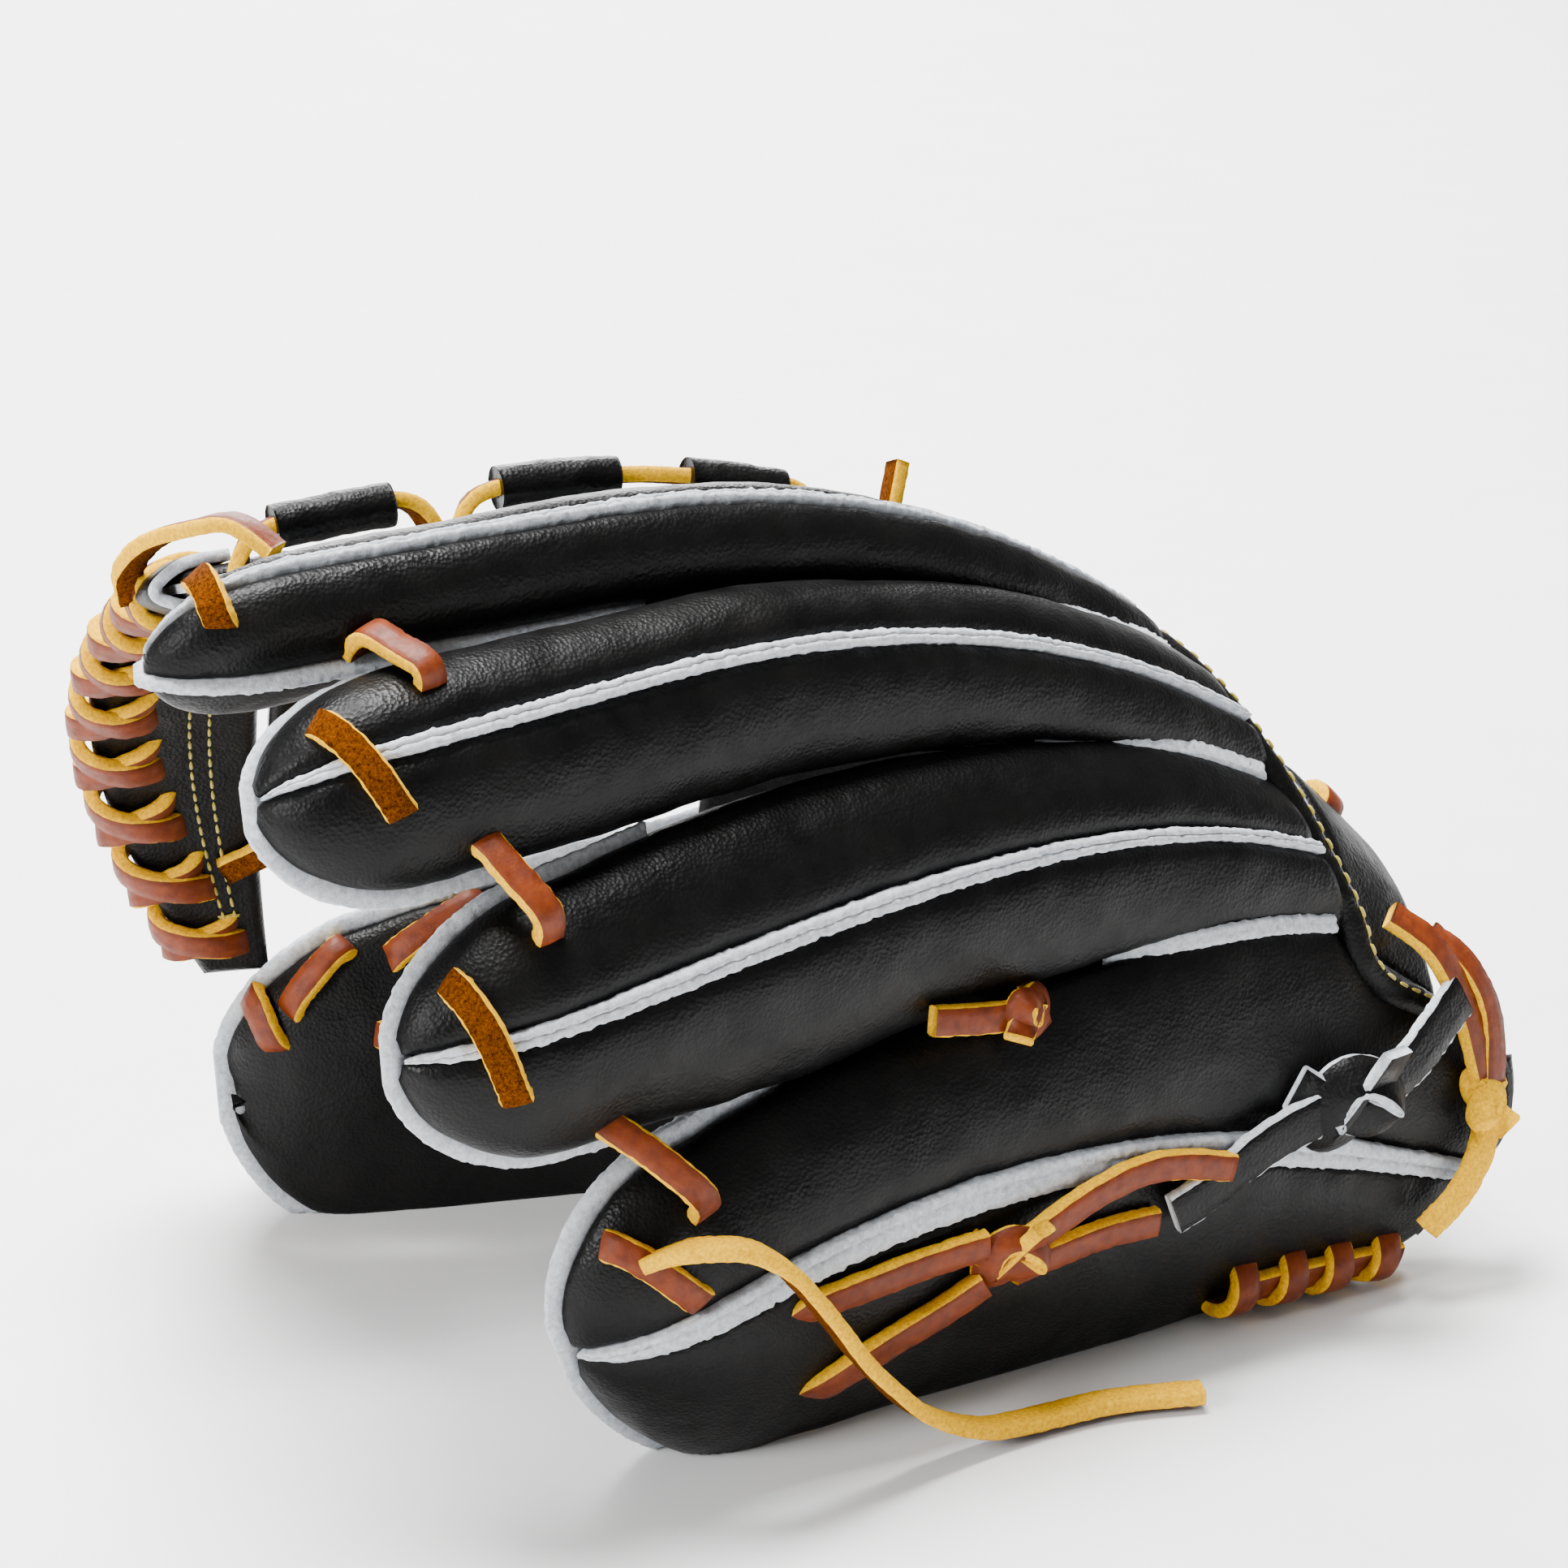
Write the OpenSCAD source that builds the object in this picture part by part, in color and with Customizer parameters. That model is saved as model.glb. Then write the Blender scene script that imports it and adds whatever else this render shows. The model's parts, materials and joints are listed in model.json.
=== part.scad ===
// Left-hand fielder's glove standing on its pinky side and its thumb, like an arch.
// +X runs from the fingertips to the heel, -Y is the pinky side, +Z is up, z = 0 is the ground.
//
// Every leather piece is laid out on the arch. arch(x, a) is the outermost surface at station x;
// the angle a runs from the pinky's ground line (below 0) over the ridge (90) to the thumb's
// ground line (above 180). Depth is measured inwards from that surface.

/* [Glove] */
// Height of the ridge, at the index finger
ridge_h = 172; // [150:1:200]
// Station of the ridge's highest point
ridge_x = -45; // [-60:1:-30]
// How fast the ridge falls from its highest point to the heel, in 1/mm
heel_fall = 0.0031; // [0.0026:0.0001:0.0034]
// How fast it falls to the fingertips, in 1/mm
tip_fall = 0.0009; // [0.0006:0.0001:0.0014]
// Half width of the arch on the pinky side
near_w = 52; // [44:1:62]
// Half width of the arch on the thumb side
far_w = 94; // [82:1:106]
// Station of the heel's end
heel_x = 138; // [132:1:150]

/* [Fingers] */
// Station of the index fingertip
index_tip_x = -128; // [-138:1:-116]
// Station of the middle fingertip
middle_tip_x = -114; // [-125:1:-103]
// Station of the ring fingertip
ring_tip_x = -94; // [-105:1:-84]
// Station of the pinky fingertip
pinky_tip_x = -62; // [-74:1:-54]
// Station of the thumb tip
thumb_tip_x = -83; // [-94:1:-74]
// Length of a fingertip's round end
tip_len = 27; // [22:1:32]
// Depth of the seam that joins a finger's back to its palm side
seam_depth = 14; // [12:0.5:17]
// Thickness of a finger, back to palm side
stall_depth = 27; // [24:0.5:32]

/* [Leather] */
// Thickness of the shell leather
leather = 3; // [2.4:0.1:3.6]
// Thickness of the lining leather
lining = 1; // [0.8:0.1:1.4]
// Thickness of the felt pads
felt = 4; // [3:0.25:5]
// Width of the welts between the finger backs
welt_w = 3.4; // [2.6:0.2:4.4]
// How far a welt stands out of its seam
welt_out = 3; // [2:0.25:4]
// Thickness of the welts round the fingers
welt_t = 1.6; // [1.2:0.1:2]
// Diameter of the rolled binding at the wrist
binding_d = 6; // [5:0.5:7]
// Clearance between neighbouring fingers, in degrees of arch
finger_gap = 0.25; // [0.2:0.05:0.5]

/* [Laces] */
// Width of a lace
lace_w = 5.6; // [4.8:0.2:6.4]
// Thickness of a lace
lace_t = 2.8; // [2.2:0.2:3.2]
// Width of the black strap
strap_w = 9; // [7:0.5:11]
// Thickness of the black strap
strap_t = 2.4; // [2:0.2:3]

/* [Web] */
// Thickness of the web's doubled leather
web_t = 5; // [4:0.25:6]
// Depth of the web below the arch
web_depth = 7; // [5:0.5:9]
// Outside diameter of a lace tube
tube_d = 8; // [7:0.5:9]
// Clearance at a fold line, in degrees of arch
fold_gap = 6; // [5:0.5:8]

/* [Hidden] */
$fn = 24;

INDEX = 0;
MIDDLE = 1;
RING = 2;
PINKY = 3;
THUMB = 4;

// A line over the arch: its angle at the tips' station, at x = 0 and at the wrist's station
LINE_TIPS = -110;
LINE_WRIST = 100;
PINKY_GROUND = [-40, -40, -40];
PINKY_CENTRE = [-30, -7, -5];
RING_PINKY = [0, 9, 34];
RING_CENTRE = [18, 25.5, 46.5];
MIDDLE_RING = [32, 40, 60.5];
MIDDLE_CENTRE = [50, 55, 70];
INDEX_MIDDLE = [68, 69, 92];
INDEX_CENTRE = [83, 82.5, 102];
INDEX_WEB = [97, 99, 116];
THUMB_WEB = [172, 159, 136];
THUMB_CENTRE = [181, 178, 169];
THUMB_GROUND = [196, 196, 196];

// Each finger: low side line, centre line, high side line, how fast it parts from its neighbour on
// the low and the high side (degrees per mm), and the tip's station
FINGERS = [
  [INDEX_MIDDLE, INDEX_CENTRE, INDEX_WEB, 0.03, 0, index_tip_x],
  [MIDDLE_RING, MIDDLE_CENTRE, INDEX_MIDDLE, 0.03, 0.03, middle_tip_x],
  [RING_PINKY, RING_CENTRE, MIDDLE_RING, 0.06, 0.03, ring_tip_x],
  [PINKY_GROUND, PINKY_CENTRE, RING_PINKY, 0, 0.06, pinky_tip_x],
  [THUMB_WEB, THUMB_CENTRE, THUMB_GROUND, 0, 0, thumb_tip_x],
];
// Station where the fingers begin to part
part_x = -10;
// Highest arch angle of the pinky's side panel, how it comes down behind the ring finger's back,
// and what it comes down to along the wrist opening
pinky_top = 34;
corner_x = 96;
corner_fall = 0.7;
pinky_cuff = 27;
// Lowest arch angle of the thumb's side panel
thumb_top = 142;

near_base = 0.353;  // height of the near side's widest line, as a share of the ridge
far_base = 0.172;   // the same on the thumb side
near_taper = 0.09;  // how fast the near side narrows towards the heel
far_taper = 0.29;
ridge_y0 = -19;     // sideways place of the ridge, and how fast it comes in to the middle
ridge_drift = 0.1;
middle_x = 5;       // station over the origin, which is the middle of the footprint
heel_round = 0.009; // rounding of the heel's end outside these two angles
heel_low = 25;
heel_high = 141;
wrist_x = 76;       // wrist edge of the backs at the index finger, and how it slants
wrist_a = 85;
wrist_slant = 0.5;
back_flat = 5;      // depth of the finger seams at the wrist edge
knuckle_x = 0;      // stations between which the seams come up to that depth
cuff_x = 70;
seam_angle = 4;     // half angle of a seam's slot around a finger
tip_start = 10;     // cap angle at which a fingertip's panels begin
step = 0.1;         // step of the slopes' differences
palm_x = 98;        // wrist end of the palm side of the index, middle and ring fingers
heel_front = 108;   // where the heel's own leather begins
heel_depth = 15;    // its depth below the arch
skin_gap = 0.2;     // air between two layers
welt_slack = 0.4;   // half angle left free beside a centre welt in its slot
welt_crown = 0.8;   // how far a centre welt stands out of the back
welt_root = 2;      // how deep an edge welt sits in its seam
crotch_rise = 3;    // height of a welt between two backs, over the valley's floor
under_leather = leather + skin_gap;
under_felt = under_leather + felt + skin_gap;
strap_drop = 6;     // depth of the wrist strap below the arch
strap_x = [107, 127];
thumb_seam = 21;    // depth of the thumb's seam on its ground side
cuff_rise = 6;      // how far the palm side's seams come up at the wrist
skew_len = 60;      // length behind the round tip over which a finger's slant dies out
skew_share = 0.8;

function clamp(v, lo, hi) = min(max(v, lo), hi);
function mix(a, b, t) = a + (b - a) * t;
function unit(v) = v / norm(v);
function line(l, x) =
  let (before = (l[0] - l[1]) / LINE_TIPS, after = (l[2] - l[1]) / LINE_WRIST)
  let (curve = (after - before) / (LINE_WRIST - LINE_TIPS))
  l[1] + (after - curve * LINE_WRIST) * x + curve * x * x;
function ridge_z(x) = ridge_h - (x < ridge_x ? tip_fall : heel_fall) * pow(x - ridge_x, 2);
function ridge_y(x) = ridge_y0 + ridge_drift * x;

function arch(x, a) =
  let (near = a <= 90)
  let (w = near ? near_w - near_taper * x : far_w - far_taper * x)
  let (base = near ? near_base : far_base)
  [x - middle_x, ridge_y(x) - w * cos(a), ridge_z(x) * (base + (1 - base) * sin(a))];

function across(x, a) = (arch(x, a + step) - arch(x, a - step)) / (2 * step);
function along(x, a) = (arch(x + step, a) - arch(x - step, a)) / (2 * step);
function normal(x, a) = unit(cross(along(x, a), across(x, a)));

// A point at height h over the arch surface, kept at or above the ground
function over(x, a, h, floor_z = 0) =
  let (p = arch(x, a) + h * normal(x, a))
  [p[0], p[1], max(p[2], floor_z)];

// ---------- the fingers' own coordinates ----------
// A finger is a flattened tube along its centre line. t goes from 0 at the start of the round tip
// to 1 at the wrist end, or is negative for the tip's cap: -90 is the very tip. th is the angle
// around the tube: 0 high side, 90 crest of the back, 180 low side, 270 middle of the palm side.

function tip_x(k) = FINGERS[k][5];
function cap_x(k) = tip_x(k) + tip_len;
function parting(x) = max(0, part_x - x);
function cuff_top(x) = max(pinky_cuff, pinky_top - corner_fall * max(0, x - corner_x));
function low_side(k, x) =
  let (a = line(FINGERS[k][0], x) + finger_gap + FINGERS[k][3] * parting(x))
  k == THUMB ? max(a, thumb_top) : a;
function high_side(k, x) =
  let (a = line(FINGERS[k][2], x) - finger_gap - FINGERS[k][4] * parting(x))
  k == PINKY ? min(a, cuff_top(x)) : a;
function centre(k, x) = line(FINGERS[k][1], x);
function deg_per_mm(x, a) = 1 / norm(across(x, a));
function slant(k, x) = (centre(k, x + 1) - centre(k, x - 1)) / 2 / deg_per_mm(x, centre(k, x));

function wrist_end(a) = wrist_x + (wrist_a - a) * wrist_slant;
function heel_end(a) = heel_x - heel_round * pow(max(0, heel_low - a, a - heel_high), 2);
function back_end(k, a) = k >= PINKY ? heel_end(a) : wrist_end(a);

// Depth of the seam between back and palm side, on the side of the tube where th lies
function cuff(x) = clamp((x - knuckle_x) / (cuff_x - knuckle_x), 0, 1);
function ground_seam(k, th) = k == THUMB ? mix(seam_depth, thumb_seam, min(1, 1.5 * cos(th))) : seam_depth;
function ground_side(k, th) = (k == PINKY && cos(th) < 0) || (k == THUMB && cos(th) > 0);
function back_seam(k, x, th) =
  ground_side(k, th) ? ground_seam(k, th) : mix(seam_depth, back_flat, cuff(x));
function palm_seam(k, x, th) =
  ground_side(k, th) ? ground_seam(k, th) : mix(seam_depth, stall_depth - cuff_rise, cuff(x));

function finger_angle(k, x, th, s, h) =
  let (c = centre(k, x))
  let (side = cos(th) >= 0 ? high_side(k, x) - c : c - low_side(k, x))
  c + (side + h * deg_per_mm(x, c)) * cos(th) * s;

// Point on finger k, h outside its surface
function finger(k, t, th, h = 0, end = undef, floor_z = 0) =
  let (cap = t < 0 ? -t : 0)
  let (s = cos(cap))
  let (c_end = is_undef(end) ? back_end(k, centre(k, cap_x(k))) : end)
  let (x0 = t < 0 ? cap_x(k) - (tip_len + h) * sin(cap) : mix(cap_x(k), c_end, t))
  let (a0 = finger_angle(k, x0, th, s, h))
  let (x1 = t < 0 || !is_undef(end) ? x0 : mix(cap_x(k), back_end(k, a0), t))
  let (a = finger_angle(k, x1, th, s, h))
  let (skew = clamp((cap_x(k) + skew_len - x1) / skew_len, 0, 1) * slant(k, x1) * skew_share)
  let (x = x1 - skew * (a - centre(k, x1)) / deg_per_mm(x1, a))
  let (seam = sin(th) >= 0 ? back_seam(k, x1, th) : palm_seam(k, x1, th))
  let (bulge = sin(th) >= 0 ? seam : stall_depth - seam)
  over(x, a, -seam + (bulge + h) * sin(th) * s, floor_z);

// ---------- builders ----------

function steps(from, to, n) = [for (i = [0:n]) mix(from, to, i / n)];
function quad(a, b, c, d) = [[a, c, b], [a, d, c]];

// Closed slab between an outer and an inner grid of points with the same rows and columns
module slab(outer, inner) {
  rows = len(outer);
  cols = len(outer[0]);
  size = rows * cols;
  points = [for (g = [outer, inner]) for (row = g) for (p = row) p];
  skins = [for (i = [0:rows - 2], j = [0:cols - 2])
    let (a = i * cols + j, b = a + 1, c = b + cols, d = a + cols)
    each concat(quad(a, b, c, d), quad(size + d, size + c, size + b, size + a))];
  ends = [for (j = [0:cols - 2])
    let (a = j, b = j + 1, c = (rows - 1) * cols + j, d = c + 1)
    each concat(quad(a, size + a, size + b, b), quad(d, size + d, size + c, c))];
  sides = [for (i = [0:rows - 2])
    let (a = i * cols, b = a + cols, c = a + cols - 1, d = c + cols)
    each concat(quad(b, size + b, size + a, a), quad(c, size + c, size + d, d))];
  polyhedron(points, concat(skins, ends, sides), convexity = 8);
}

// Leather panel of a finger between two angles around it, with its skins h_out and h_in
module panel(k, th0, th1, h_out, h_in, rows, cols, end = undef) {
  ts = concat(steps(tip_start - 90, -15, 4), steps(0, 1, rows));
  ths = steps(th0, th1, cols);
  slab([for (t = ts) [for (th = ths) finger(k, t, th, h_out, end)]],
       [for (t = ts) [for (th = ths) finger(k, t, th, h_in, end, h_out - h_in)]]);
}

// The row the other way round
function turned(row) = [for (i = [len(row) - 1:-1:0]) row[i]];

// Sheet between two depths below the arch, over a grid of [x, a] places
module sheet(grid, h_out, h_in) {
  slab([for (row = grid) [for (q = turned(row)) over(q[0], q[1], h_out)]],
       [for (row = grid) [for (q = turned(row)) over(q[0], q[1], h_in, h_out - h_in)]]);
}

// Grid between two stations and two angles
function field(x0, x1, a0, a1, rows, cols) =
  [for (x = steps(x0, x1, rows)) [for (a = steps(a0, a1, cols)) [x, a]]];

// Grid between two lines over the arch, kept a fold's clearance inside them
function fold_field(x0, x1, rows, cols) =
  [for (x = steps(x0, x1, rows))
    let (low = line(INDEX_WEB, x) + fold_gap, high = max(line(THUMB_WEB, x), thumb_top) - fold_gap)
    [for (a = steps(low, high, cols)) [x, a]]];

// Catmull-Rom curve through the points, n pieces between each two
function spline_point(a, b, c, d, t) =
  (2 * b + (c - a) * t + (2 * a - 5 * b + 4 * c - d) * t * t
    + (3 * b - a - 3 * c + d) * t * t * t) / 2;
function smooth(p, n) = let (last = len(p) - 1) [
  for (i = [0:last - 1]) for (j = [0:n - 1])
    spline_point(p[max(i - 1, 0)], p[i], p[i + 1], p[min(i + 2, last)], j / n),
  p[last]];

function direction(p, i) = unit(p[min(i + 1, len(p) - 1)] - p[max(i - 1, 0)]);

// Strip of the given width and thickness along a path, with its flat side facing ups[i]
module strip(path, ups, w, t) {
  rings = [for (i = [0:len(path) - 1])
    let (side = unit(cross(direction(path, i), ups[i])))
    let (up = cross(side, direction(path, i)))
    [path[i] - side * w / 2 - up * t / 2, path[i] - side * w / 2 + up * t / 2,
     path[i] + side * w / 2 + up * t / 2, path[i] + side * w / 2 - up * t / 2]];
  loft(rings);
}

// Closed solid through rings with the same number of points
module loft(rings) {
  n = len(rings[0]);
  last = len(rings) - 1;
  points = [for (r = rings) each r];
  walls = [for (i = [0:last - 1], j = [0:n - 1])
    let (k = (j + 1) % n)
    each quad(i * n + j, i * n + k, (i + 1) * n + k, (i + 1) * n + j)];
  caps = [for (j = [1:n - 2]) each [[0, j, j + 1], [last * n, last * n + j + 1, last * n + j]]];
  polyhedron(points, concat(walls, caps), convexity = 8);
}

// Lace over a finger: stations are [t, th, h], the flat side faces away from the finger
module finger_lace(k, stations, n = 3) {
  s = smooth(stations, n);
  path = [for (q = s) finger(k, q[0], q[1], q[2])];
  ups = [for (q = s) finger(k, q[0], q[1], q[2] + 2) - finger(k, q[0], q[1], q[2] - 2)];
  strip(path, ups, lace_w, lace_t);
}

// Lace or strap over the arch: stations are [x, a, h]
module arch_lace(stations, w = lace_w, t = lace_t, n = 3) {
  s = smooth(stations, n);
  strip([for (q = s) over(q[0], q[1], q[2])], [for (q = s) normal(q[0], q[1])], w, t);
}

// Lace wound round an edge: centres are [x, a, h]; the winding is rx wide along the glove or ra wide
// across it, and rh deep
module winding(centres, turns, rx, ra, rh, per_turn = 8) {
  n = turns * per_turn;
  s = [for (i = [0:n]) centre_at(centres, i / n)];
  path = [for (i = [0:n])
    let (b = i * 360 / per_turn, x = s[i][0] - rx * cos(b))
    let (a = s[i][1] - ra * cos(b) * deg_per_mm(x, s[i][1]))
    over(x, a, s[i][2] + rh * sin(b), lace_w * 0.6)];
  ups = [for (i = [0:n])
    let (away = path[i] - over(s[i][0], s[i][1], s[i][2]), d = direction(path, i))
    cross(d, cross(away, d))];
  strip(path, ups, lace_w, lace_t);
}

function centre_at(c, f) =
  let (last = len(c) - 1, i = min(floor(f * last), last - 1), t = f * last - i)
  spline_point(c[max(i - 1, 0)], c[i], c[i + 1], c[min(i + 2, last)], t);

// Round cord or roll through stations [x, a, h]
module roll(stations, d, n = 3, sides = 8) {
  s = smooth(stations, n);
  path = [for (q = s) over(q[0], q[1], q[2], d / 2)];
  rings = [for (i = [0:len(path) - 1])
    let (ahead = direction(path, i))
    let (side = unit(cross(ahead, normal(s[i][0], s[i][1]))))
    let (up = cross(side, ahead))
    [for (b = [0:360 / sides:359]) path[i] + d / 2 * (cos(b) * side - sin(b) * up)]];
  loft(rings);
}

// Knot as a lump between two places on the arch
module knot(from, to, d) {
  hull() for (q = [from, to]) translate(over(q[0], q[1], q[2])) sphere(d / 2, $fn = 12);
}

// ---------- backs ----------

CRESTS = [seam_angle, 90 - seam_angle];

module finger_back(k, rows = 12) color("#1c1b1c") {
  panel(k, CRESTS[0], CRESTS[1], 0, -leather, rows, 6);
  panel(k, 180 - CRESTS[1], 180 - CRESTS[0], 0, -leather, rows, 6);
}

module centre_welt(k, rows = 14) color("#c9ced6") {
  half = seam_angle - welt_slack;
  ts = concat(steps(tip_start - 85, -15, 3), steps(0, 1, rows));
  slab([for (t = ts) [for (th = [90 - half, 90 + half]) finger(k, t, th, welt_crown)]],
       [for (t = ts) [for (th = [90 - half, 90 + half]) finger(k, t, th, -leather)]]);
}

// Welt standing out of the seam round a finger: down the low side, round the tip, up the high side
module edge_welt(k, low_t, high_t, n = 9) color("#c9ced6") {
  low = [for (t = steps(low_t, 0, n)) [t, 180]];
  cap_low = [for (c = steps(-15, tip_start - 90, 5)) [c, 180]];
  cap_high = [for (c = steps(tip_start - 90, -15, 5)) [c, 0]];
  high = [for (t = steps(0, high_t, n)) [t, 0]];
  around = concat(low, cap_low, cap_high, high);
  rings = [for (q = around)
    let (inner = finger(k, q[0], q[1], -welt_root))
    let (outer = finger(k, q[0], q[1], welt_out))
    let (x = inner[0] + middle_x)
    let (up = normal(x, finger_angle(k, x, q[1], 1, 0)) * welt_t / 2)
    [lift(outer - up), lift(outer + up), lift(inner + up), lift(inner - up)]];
  loft(rings);
}

function lift(p) = [p[0], p[1], max(p[2], 0)];

// Welt between two fingers' backs, from the station where it comes up out of the valley
function beside(l, x, mm) = line(l, x) + mm * deg_per_mm(x, line(l, x));
function valley(x) = -mix(seam_depth, back_flat, cuff(x));

module crotch_welt(l, x0, x1) {
  xs = steps(x0, x1, 10);
  sides = [welt_w / 2, -welt_w / 2];
  slab([for (x = xs) [for (mm = sides) over(x, beside(l, x, mm), valley(x) + crotch_rise)]],
       [for (x = xs) [for (mm = sides) over(x, beside(l, x, mm), valley(x))]]);
}

module index_back() finger_back(INDEX);
module middle_back() finger_back(MIDDLE);
module ring_back() finger_back(RING);
module pinky_back() finger_back(PINKY);
module thumb_back() finger_back(THUMB);

module index_back_welt() centre_welt(INDEX);
module middle_back_welt() centre_welt(MIDDLE);
module ring_back_welt() centre_welt(RING);
module pinky_back_welt() centre_welt(PINKY);
module thumb_back_welt() centre_welt(THUMB);

module index_edge_welt() edge_welt(INDEX, 0.35, 0.55);
module middle_edge_welt() edge_welt(MIDDLE, 0.1, 0.2);
module ring_edge_welt() edge_welt(RING, 0.08, 0.15);
module pinky_edge_welt() edge_welt(PINKY, 0.3, 0.15);
module thumb_edge_welt() edge_welt(THUMB, 0.35, 0.6);

module crotch_welts() color("#c9ced6") {
  crotch_welt(INDEX_MIDDLE, 30, 75);
  crotch_welt(MIDDLE_RING, 42, 87);
  crotch_welt(RING_PINKY, 52, 95);
}

// ---------- palm side ----------

module finger_front(k, end, cols = 8) color("#232122")
  panel(k, 180 + seam_angle, 360 - seam_angle, 0, -leather, 10, cols, end);

module index_palm() finger_front(INDEX, palm_x);
module middle_palm() finger_front(MIDDLE, palm_x);
module ring_palm() finger_front(RING, palm_x);
module pinky_palm() finger_front(PINKY, heel_front - 1);
module thumb_palm() finger_front(THUMB, heel_front - 1);

// The heel's own leather, from the palm side to just inside the binding
module heel(a0, a1, cols) color("#232122")
  sheet([for (f = steps(0, 1, 4)) [for (a = steps(a0, a1, cols)) [mix(heel_front, heel_end(a) - 4, f), a]]],
    -heel_depth, -heel_depth - leather);

module pinky_heel() heel(-22, 78, 12);
module thumb_heel() heel(114, 180, 10);

module palm_pocket() color("#232122")
  sheet(fold_field(6, 100, 10, 6), -stall_depth + leather, -stall_depth);

// Felt that stiffens the finger's palm side, just inside its leather
module felt_pad(k, end) color("#8c8577") {
  ts = steps(0.05, 0.8, 8);
  ths = steps(215, 325, 5);
  slab([for (t = ts) [for (th = ths) finger(k, t, th, -leather - skin_gap, end)]],
       [for (t = ts) [for (th = ths) finger(k, t, th, -leather - skin_gap - felt, end)]]);
}

module palm_felt() felt_pad(MIDDLE, palm_x);
module pinky_felt() felt_pad(PINKY, heel_front - 1);
module thumb_felt() felt_pad(THUMB, heel_front - 1);

// Thin leather between the hand and the palm side of a stall
module stall_lining(k, end, depth) color("#3a3431") {
  ts = steps(0.05, 0.97, 9);
  ths = steps(208, 332, 6);
  slab([for (t = ts) [for (th = ths) finger(k, t, th, -depth, end)]],
       [for (t = ts) [for (th = ths) finger(k, t, th, -depth - lining, end)]]);
}

module finger_linings() {
  stall_lining(INDEX, palm_x, under_leather);
  stall_lining(MIDDLE, palm_x, under_felt);
  stall_lining(RING, palm_x, under_leather);
  stall_lining(PINKY, heel_front - 1, under_felt);
}
module thumb_lining() stall_lining(THUMB, heel_front - 1, under_felt);

// ---------- wrist ----------

module wrist_binding() color("#1c1b1c") {
  across_backs = [for (a = [96, 85, 71, 59, 47, 37]) [wrist_end(a) + 2, a, -back_flat + leather / 2]];
  side_panel = [for (q = [[104, 29], [109, 26], [118, 26], [128, 26], [135, 26]])
    [q[0], q[1], -back_flat + leather / 2]];
  roll(concat(across_backs, side_panel), binding_d);
}

module heel_binding(angles) color("#1c1b1c")
  roll([for (a = angles) [heel_end(a) + 1, a, -back_flat]], binding_d);

module pinky_heel_binding() heel_binding([25, 16, 7, -4, -15, -24]);
module thumb_heel_binding() heel_binding([146, 157, 168, 178]);

// Strap across the back of the wrist, in two tabs that a lace joins in the middle
module strap_tab(a0, a1) color("#1c1b1c")
  sheet(field(strap_x[0], strap_x[1], a0, a1, 3, 7), -strap_drop, -strap_drop - leather);

module pinky_wrist_strap() strap_tab(38, 80);
module thumb_wrist_strap() strap_tab(106, 140);
module strap_lace() color("#a4552b")
  arch_lace([for (a = [89, 93, 97]) [mix(strap_x[0], strap_x[1], 0.5), a, -strap_drop]]);

// ---------- web ----------

// Outer and inner edge of the web's crown bar
function crown_out(a) = -111 - 4 * sin((a - 104) * 2.6) + 17 * pow(max(0, a - 130) / 35, 2);
function crown_in(a) = mix(-90, -76, (a - 104) / 60);
// Stations between which the inner bar lies
inner_bar_x = [-40, -14];

module web_sheet(grid) color("#1c1b1c") sheet(grid, -web_depth, -web_depth - web_t);

module web_crown_bar()
  web_sheet([for (a = steps(105, 172, 16)) [for (f = steps(0, 1, 4)) [mix(crown_in(a), crown_out(a), f), a]]]);
module web_inner_bar() web_sheet(field(inner_bar_x[0], inner_bar_x[1], 105, 156, 3, 12));
module web_cross_bar()
  web_sheet([for (a = steps(110, 156, 9)) [for (f = steps(0, 1, 5)) [mix(inner_bar_x[0] - 1, crown_in(a) + 2, f), a]]]);
module web_base() web_sheet(fold_field(-8, 72, 9, 8));

module web_edge_lace() color("#a4552b")
  winding([for (a = [112, 121, 131, 141, 151, 161, 169]) [crown_out(a) + 4, a, -web_depth - web_t / 2]],
    8, 7, 0, web_t / 2 + lace_t / 2);

LACE_TUBES = [[-94, -72], [-52, -29], [-15, 4]];
tube_a = 104;
tube_h = -2.5;
tab_a = 109;
tab_w = 11;
tab_t = 2;

module web_lace_tubes() color("#1c1b1c")
  for (t = LACE_TUBES) roll([for (x = steps(t[0], t[1], 3)) [x, tube_a, tube_h]], tube_d, 1, 10);

// Lace that runs through the tubes, dips between them and ends standing up at the web's base
module web_index_lace() color("#a4552b") {
  arch_lace([[-102, 105, -14], [-97, tube_a, -3], [-70, tube_a, tube_h], [-62, 105, -13], [-55, tube_a, -3],
    [-27, tube_a, tube_h], [-16, tube_a, tube_h], [7, tube_a, tube_h], [14, 105, -13]], lace_w - 1);
  strip([for (h = [-8, -2, 4, 10]) over(28, 108, h)], [for (i = [0:3]) [1, 0.2, 0]], lace_w, lace_t);
}

// Leather tab folded round the crown bar's outer edge, beside the index finger
module index_corner_tab() color("#1c1b1c") {
  rise = web_t / 2 + tab_t / 2;
  path = [for (q = smooth([[11, rise], [2, rise], [-4, 0], [2, -rise], [11, -rise]], 4))
    over(crown_out(tab_a) + q[0], tab_a, q[1] - web_depth - web_t / 2)];
  wide = across(crown_out(tab_a), tab_a);
  strip(path, [for (i = [0:len(path) - 1]) cross(wide, direction(path, i))], tab_w, tab_t);
}

module index_corner_lace() color("#a4552b")
  arch_lace([[-116, 114, -9], [-117, 111, -4], [-114, 107, -0.5], [-109, 103, 0.5], [-103, 99.5, 0.5], [-98, 97, -5]]);

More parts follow.
